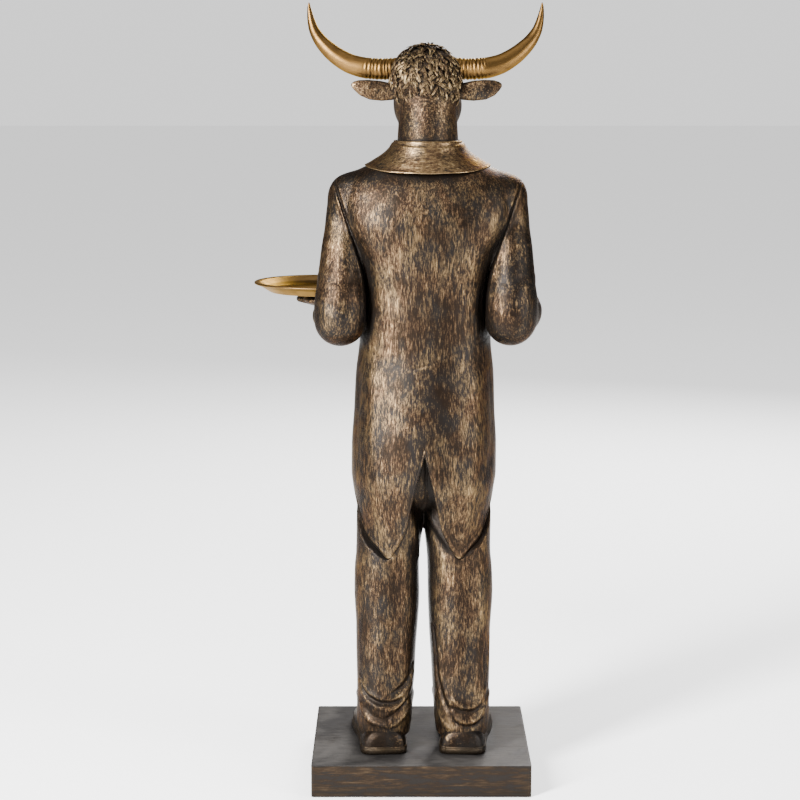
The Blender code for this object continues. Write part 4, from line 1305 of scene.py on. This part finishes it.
LIGHTS = {
    "key": ((1.8, 2.0, 1.7), 0.6, (0.55, 2.3), 490),
    "fill": ((-2.2, 1.5, 1.0), 0.5, (0.5, 1.7), 78),
    "front": ((-0.9, -2.4, 1.9), 0.6, (1.4, 1.4), 140),
    "top": ((0, 0.2, 3.4), 0, (2.4, 2.4), 35),
}


def bronze(name, streak=(290, 290, 50), tone=0.0, flecks=0.0, relief_gain=0.20, painted_shade=0.018, wear=1.0):
    """Umber and charcoal under dry-brushed copper and gold strokes that catch on what stands out, with
    painted shade, darker and less gold, where ambient occlusion finds nearby surfaces.
    """
    n = Nodes(name)
    patch = n.noise(22.0, 3, 0.6, (1, 1, 0.55), 0.7)
    warm = n.noise(34.0, 3, 0.55, (1, 1, 0.8), 0.3, 5.3)
    wide = n.noise(1.0, 3, 0.6, streak, 0.4, 3.1)
    fine = n.noise(1.0, 3, 0.7, tinted(streak, 2.7), 0.2, 7.7)
    speck = n.noise(900.0, 2, 0.6, (1, 1, 1), 0.0, 1.9)
    # On the trousers the relief also carries the painted shade under the coat's tails
    relief = n.attribute("relief")
    # Painted shade: where ambient occlusion finds nearby surfaces, less gold and metal, and a near-black
    # umber
    clear_of_shade = n.band(n.painted_shade(painted_shade), 0.30, 0.95)
    cover = n.math("MULTIPLY_ADD", patch, 0.52, tone - 0.02)
    cover = n.math("MULTIPLY_ADD", wide, 0.53, cover)
    cover = n.math("MULTIPLY_ADD", fine, 0.92, cover)
    cover = n.math("MULTIPLY_ADD", n.math("SUBTRACT", speck, 0.5), 0.25 + flecks, cover)
    cover = n.math("MULTIPLY_ADD", relief, relief_gain, cover)
    cover = n.math("MULTIPLY_ADD", n.math("SUBTRACT", clear_of_shade, 1.0), 0.35, cover)
    edge = n.band(relief, 0.45, 1.0)
    copper = n.band(cover, 0.86, 1.10)
    gold = n.math("MAXIMUM", n.band(cover, 1.00, 1.28), n.math("MULTIPLY", edge, 0.5 * wear))
    pale = n.math("MAXIMUM", n.band(cover, 1.17, 1.42), n.math("MULTIPLY", edge, 0.3 * wear))
    base = n.mix(n.band(warm, 0.38, 0.64), UMBER, CHARCOAL)
    rust = n.mix(n.band(warm, 0.35, 0.65), COPPER, tinted(GOLD, 0.45))
    colour = n.mix(n.math("MULTIPLY", copper, 0.8), base, rust)
    colour = n.mix(n.math("MULTIPLY", gold, 0.75), colour, GOLD)
    colour = n.mix(n.math("MULTIPLY", pale, 0.7), colour, PALE_GOLD)
    # Painted shade: the colour goes to near-black umber where ambient occlusion finds nearby surfaces
    colour = n.mix(clear_of_shade, tinted(UMBER, 0.22), colour)
    n.drive(Base_Color=colour, Specular_IOR_Level=0.3, Specular_Tint=EDGE_TINT,
            Metallic=n.math("MULTIPLY", n.band(cover, 0.85, 1.25, 0.80, 0.97), clear_of_shade),
            Roughness=n.math("MULTIPLY_ADD", fine, 0.14, n.band(cover, 0.9, 1.4, 0.31, 0.22)))
    height = n.math("MULTIPLY_ADD", fine, 0.8, n.math("MULTIPLY", speck, 0.35))
    n.bump(n.math("MULTIPLY_ADD", wide, 0.6, height), 0.5, 0.0011)
    return n.material


def brass(name, clean, dirt_and_shade, stretch, share):
    """Satin brass gold with brown smears, darker in its grooves, and painted shade where ambient occlusion
    finds nearby surfaces.
    """
    n = Nodes(name)
    smears = n.noise(1.0, 4, 0.6, stretch, 0.5, 2.0)
    fine = n.noise(1.0, 3, 0.6, tinted(stretch, 3), 0.2, 4.0)
    soil = n.math("MULTIPLY_ADD", fine, 0.3, smears)
    colour = n.mix(n.band(soil, 0.56, 0.92, 0.0, share), clean, dirt_and_shade)
    colour = n.mix(n.band(n.attribute("relief"), -0.05, -0.6, 0.0, 0.85), colour, tinted(dirt_and_shade, 0.35))
    # Painted shade: darker where ambient occlusion finds nearby surfaces
    colour = n.mix(n.band(n.painted_shade(0.010), 0.3, 0.95), tinted(dirt_and_shade, 0.3), colour)
    n.drive(Base_Color=colour, Metallic=0.95, Specular_Tint=BRASS_EDGE,
            Roughness=n.band(soil, 0.5, 1.0, 0.34, 0.46))
    n.bump(fine, 0.08, 0.0004)
    return n.material


def plinth_paint(name):
    """Charcoal top with faint strokes; sides dark brown with level dry-brushed strokes; painted shade where
    other surfaces are near.
    """
    n = Nodes(name)
    geometry = n.node("ShaderNodeNewGeometry", {})
    facing = n.node("ShaderNodeSeparateXYZ", {"Vector": geometry.outputs["Normal"]})
    strokes = n.noise(1.0, 5, 0.62, (22, 22, 190), 0.35, 5.0)
    fine = n.noise(1.0, 4, 0.7, (80, 80, 620), 0.2, 8.0)
    patches = n.noise(14.0, 3, 0.6)
    cover = n.math("MULTIPLY_ADD", fine, 0.5, strokes)
    cover = n.math("MULTIPLY_ADD", patches, 0.5, cover)
    side = n.mix(n.band(cover, 0.90, 1.06), CHARCOAL, UMBER)
    side = n.mix(n.band(cover, 0.96, 1.18, 0.0, 0.75), side, SIDE_BROWN)
    side = n.mix(n.band(cover, 1.12, 1.36, 0.0, 0.55), side, SIDE_STROKE)
    rub = n.noise(1.0, 4, 0.6, (16, 16, 16), 0.6, 11.0)
    rub_fine = n.noise(1.0, 4, 0.7, (40, 220, 40), 0.2, 13.0)
    rubbed = n.band(n.math("ADD", rub, n.math("MULTIPLY", rub_fine, 0.5)), 0.62, 0.98)
    colour = n.mix(n.band(facing.outputs["Z"], 0.5, 0.9), side, n.mix(rubbed, TOP_DARK, TOP_RUBBED))
    # Painted shade: near-black where ambient occlusion finds nearby surfaces, such as the floor and the
    # shoes
    n.drive(Base_Color=n.mix(n.band(n.painted_shade(0.03), 0.2, 0.95), PLINTH_PAINTED_SHADE, colour),
            Metallic=n.band(cover, 0.9, 1.5, 0.35, 0.7), Specular_IOR_Level=0.2, Specular_Tint=EDGE_TINT,
            Roughness=n.band(rub, 0.3, 0.7, 0.42, 0.58))
    n.bump(n.math("ADD", fine, rub_fine), 0.25, 0.0008)
    return n.material


def pale_floor():
    bpy.ops.mesh.primitive_plane_add(size=60, location=(0, 0, -0.0005))
    floor = bpy.context.object
    floor.name = "floor"
    n = Nodes("floor_paint")
    n.drive(Base_Color=(0.95, 0.95, 0.95), Roughness=0.9, Specular_IOR_Level=0.1, Emission_Color=(1, 1, 1),
            Emission_Strength=0.85)
    floor.data.materials.append(n.material)


def studio_world():
    """A bright backdrop for the camera, and dim light for the rest."""
    world = bpy.data.worlds.new("studio")
    bpy.context.scene.world = world
    world.use_nodes = True
    tree = world.node_tree
    dim = tree.nodes["Background"]
    dim.inputs["Color"].default_value = (1, 1, 1, 1)
    dim.inputs["Strength"].default_value = ROOM_LIGHT
    bright = tree.nodes.new("ShaderNodeBackground")
    bright.inputs["Strength"].default_value = BACKDROP_LIGHT
    rays = tree.nodes.new("ShaderNodeLightPath")
    both = tree.nodes.new("ShaderNodeMixShader")
    sources = (rays.outputs["Is Camera Ray"], dim.outputs[0], bright.outputs[0])
    for source, socket in zip(sources, both.inputs):
        tree.links.new(source, socket)
    tree.links.new(both.outputs[0], tree.nodes["World Output"].inputs["Surface"])


def stage():
    """Pale floor, soft light and the camera at the photograph's angle."""
    pale_floor()
    studio_world()
    for name, (place, aim, size, power) in LIGHTS.items():
        lamp = bpy.data.lights.new(name, "AREA")
        lamp.shape = "RECTANGLE"
        lamp.size, lamp.size_y = size
        lamp.energy = power
        aimed(name, lamp, place, Vector((0, 0, aim)) - Vector(place))
    data = bpy.data.cameras.new("camera")
    data.sensor_width = 36
    data.lens = CAMERA_LENS
    pitch = math.radians(CAMERA_PITCH_DEGREES)
    view = Vector((0, -math.cos(pitch), -math.sin(pitch)))
    bpy.context.scene.camera = aimed("camera", data, CAMERA_PLACE, view)


def aimed(name, data, place, direction):
    made = bpy.data.objects.new(name, data)
    bpy.context.scene.collection.objects.link(made)
    made.location = place
    made.rotation_euler = direction.to_track_quat("-Z", "Y").to_euler()
    return made


def main():
    stage()
    cloth = bronze("bronze_cloth", (250, 250, 40), -0.05)
    collar = bronze("bronze_collar", (60, 200, 200), 0.08)
    # Trousers: a longer reach of painted shade, for the shade under the coat's tails
    legs = bronze("bronze_legs", (290, 290, 52), -0.04, 0.0, 0.26, 0.040)
    sleeves = bronze("bronze_sleeves", (270, 270, 60), -0.08)
    leather = bronze("bronze_shoes", (140, 140, 200), -0.16, 0.0, 0.05, 0.03, 0.1)
    skin = bronze("bronze_skin", (220, 220, 150), -0.03, 0.3)
    curls = bronze("bronze_curls", (260, 260, 150), 0.02, 0.1, 0.42, 0.006)
    gold = brass("brass_horns", *HORN_BRASS, (14, 50, 50), 0.85)
    dish = brass("brass_tray", *TRAY_BRASS, (26, 26, 60), 0.7)
    figure = []

    def dress(made, material, rounds, scale):
        if rounds:
            relief_of(made, rounds, scale)
        made.data.materials.clear()
        made.data.materials.append(material)
        figure.append(made)

    dress(coat(), cloth, 8, 0.0016)
    both_legs = trousers()
    dress(both_legs, legs, 10, 0.0018)
    shade_under_tails(both_legs)
    dress(sleeve("sleeve_left", TRAY_FOREARM, 1), sleeves, 10, 0.0018)
    dress(sleeve("sleeve_right", FOLDED_FOREARM, -1), sleeves, 10, 0.0018)
    dress(coat_collar(), collar, 4, 0.0014)
    dress(shirt_collar(), collar, 4, 0.0012)
    for side in (1, -1):
        dress(front_plate(f"lapel_{hand_of(side)}", LAPEL_ROWS, side, 3.5), cloth, 4, 0.0014)
        dress(front_plate(f"waistcoat_edge_{hand_of(side)}", WAISTCOAT_NECK, side, 1.8), cloth, 4, 0.0012)
        dress(horn(side), gold, 8, 0.0005)
        dress(shoe_upper(side), leather, 5, 0.0020)
        dress(shoe_sole(side), leather, 5, 0.0020)
    dress(cuff("cuff_left", TRAY_FOREARM, 1), sleeves, 3, 0.0012)
    dress(cuff("cuff_right", FOLDED_FOREARM, -1), sleeves, 3, 0.0012)
    dress(tray_hand(), skin, 8, 0.0012)
    dress(folded_hand(), skin, 8, 0.0012)
    dress(head(), skin, 10, 0.0014)
    dress(hair_locks(), curls, 0, 0)
    dress(hair_cap(), curls, 3, 0.0016)
    for piece in bow_tie() + [button(k) for k in range(len(BUTTONS))]:
        dress(piece, cloth, 3, 0.0012)
    for made in figure:
        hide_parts("figure")
        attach(made, "root")

    dish_piece = tray()
    relief_of(dish_piece, 6, 0.0004)
    dish_piece.data.materials.append(dish)
    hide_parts("tray")
    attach(dish_piece, "root")

    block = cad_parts["plinth"]
    block.data.materials.clear()
    block.data.materials.append(plinth_paint("plinth_paint"))


main()
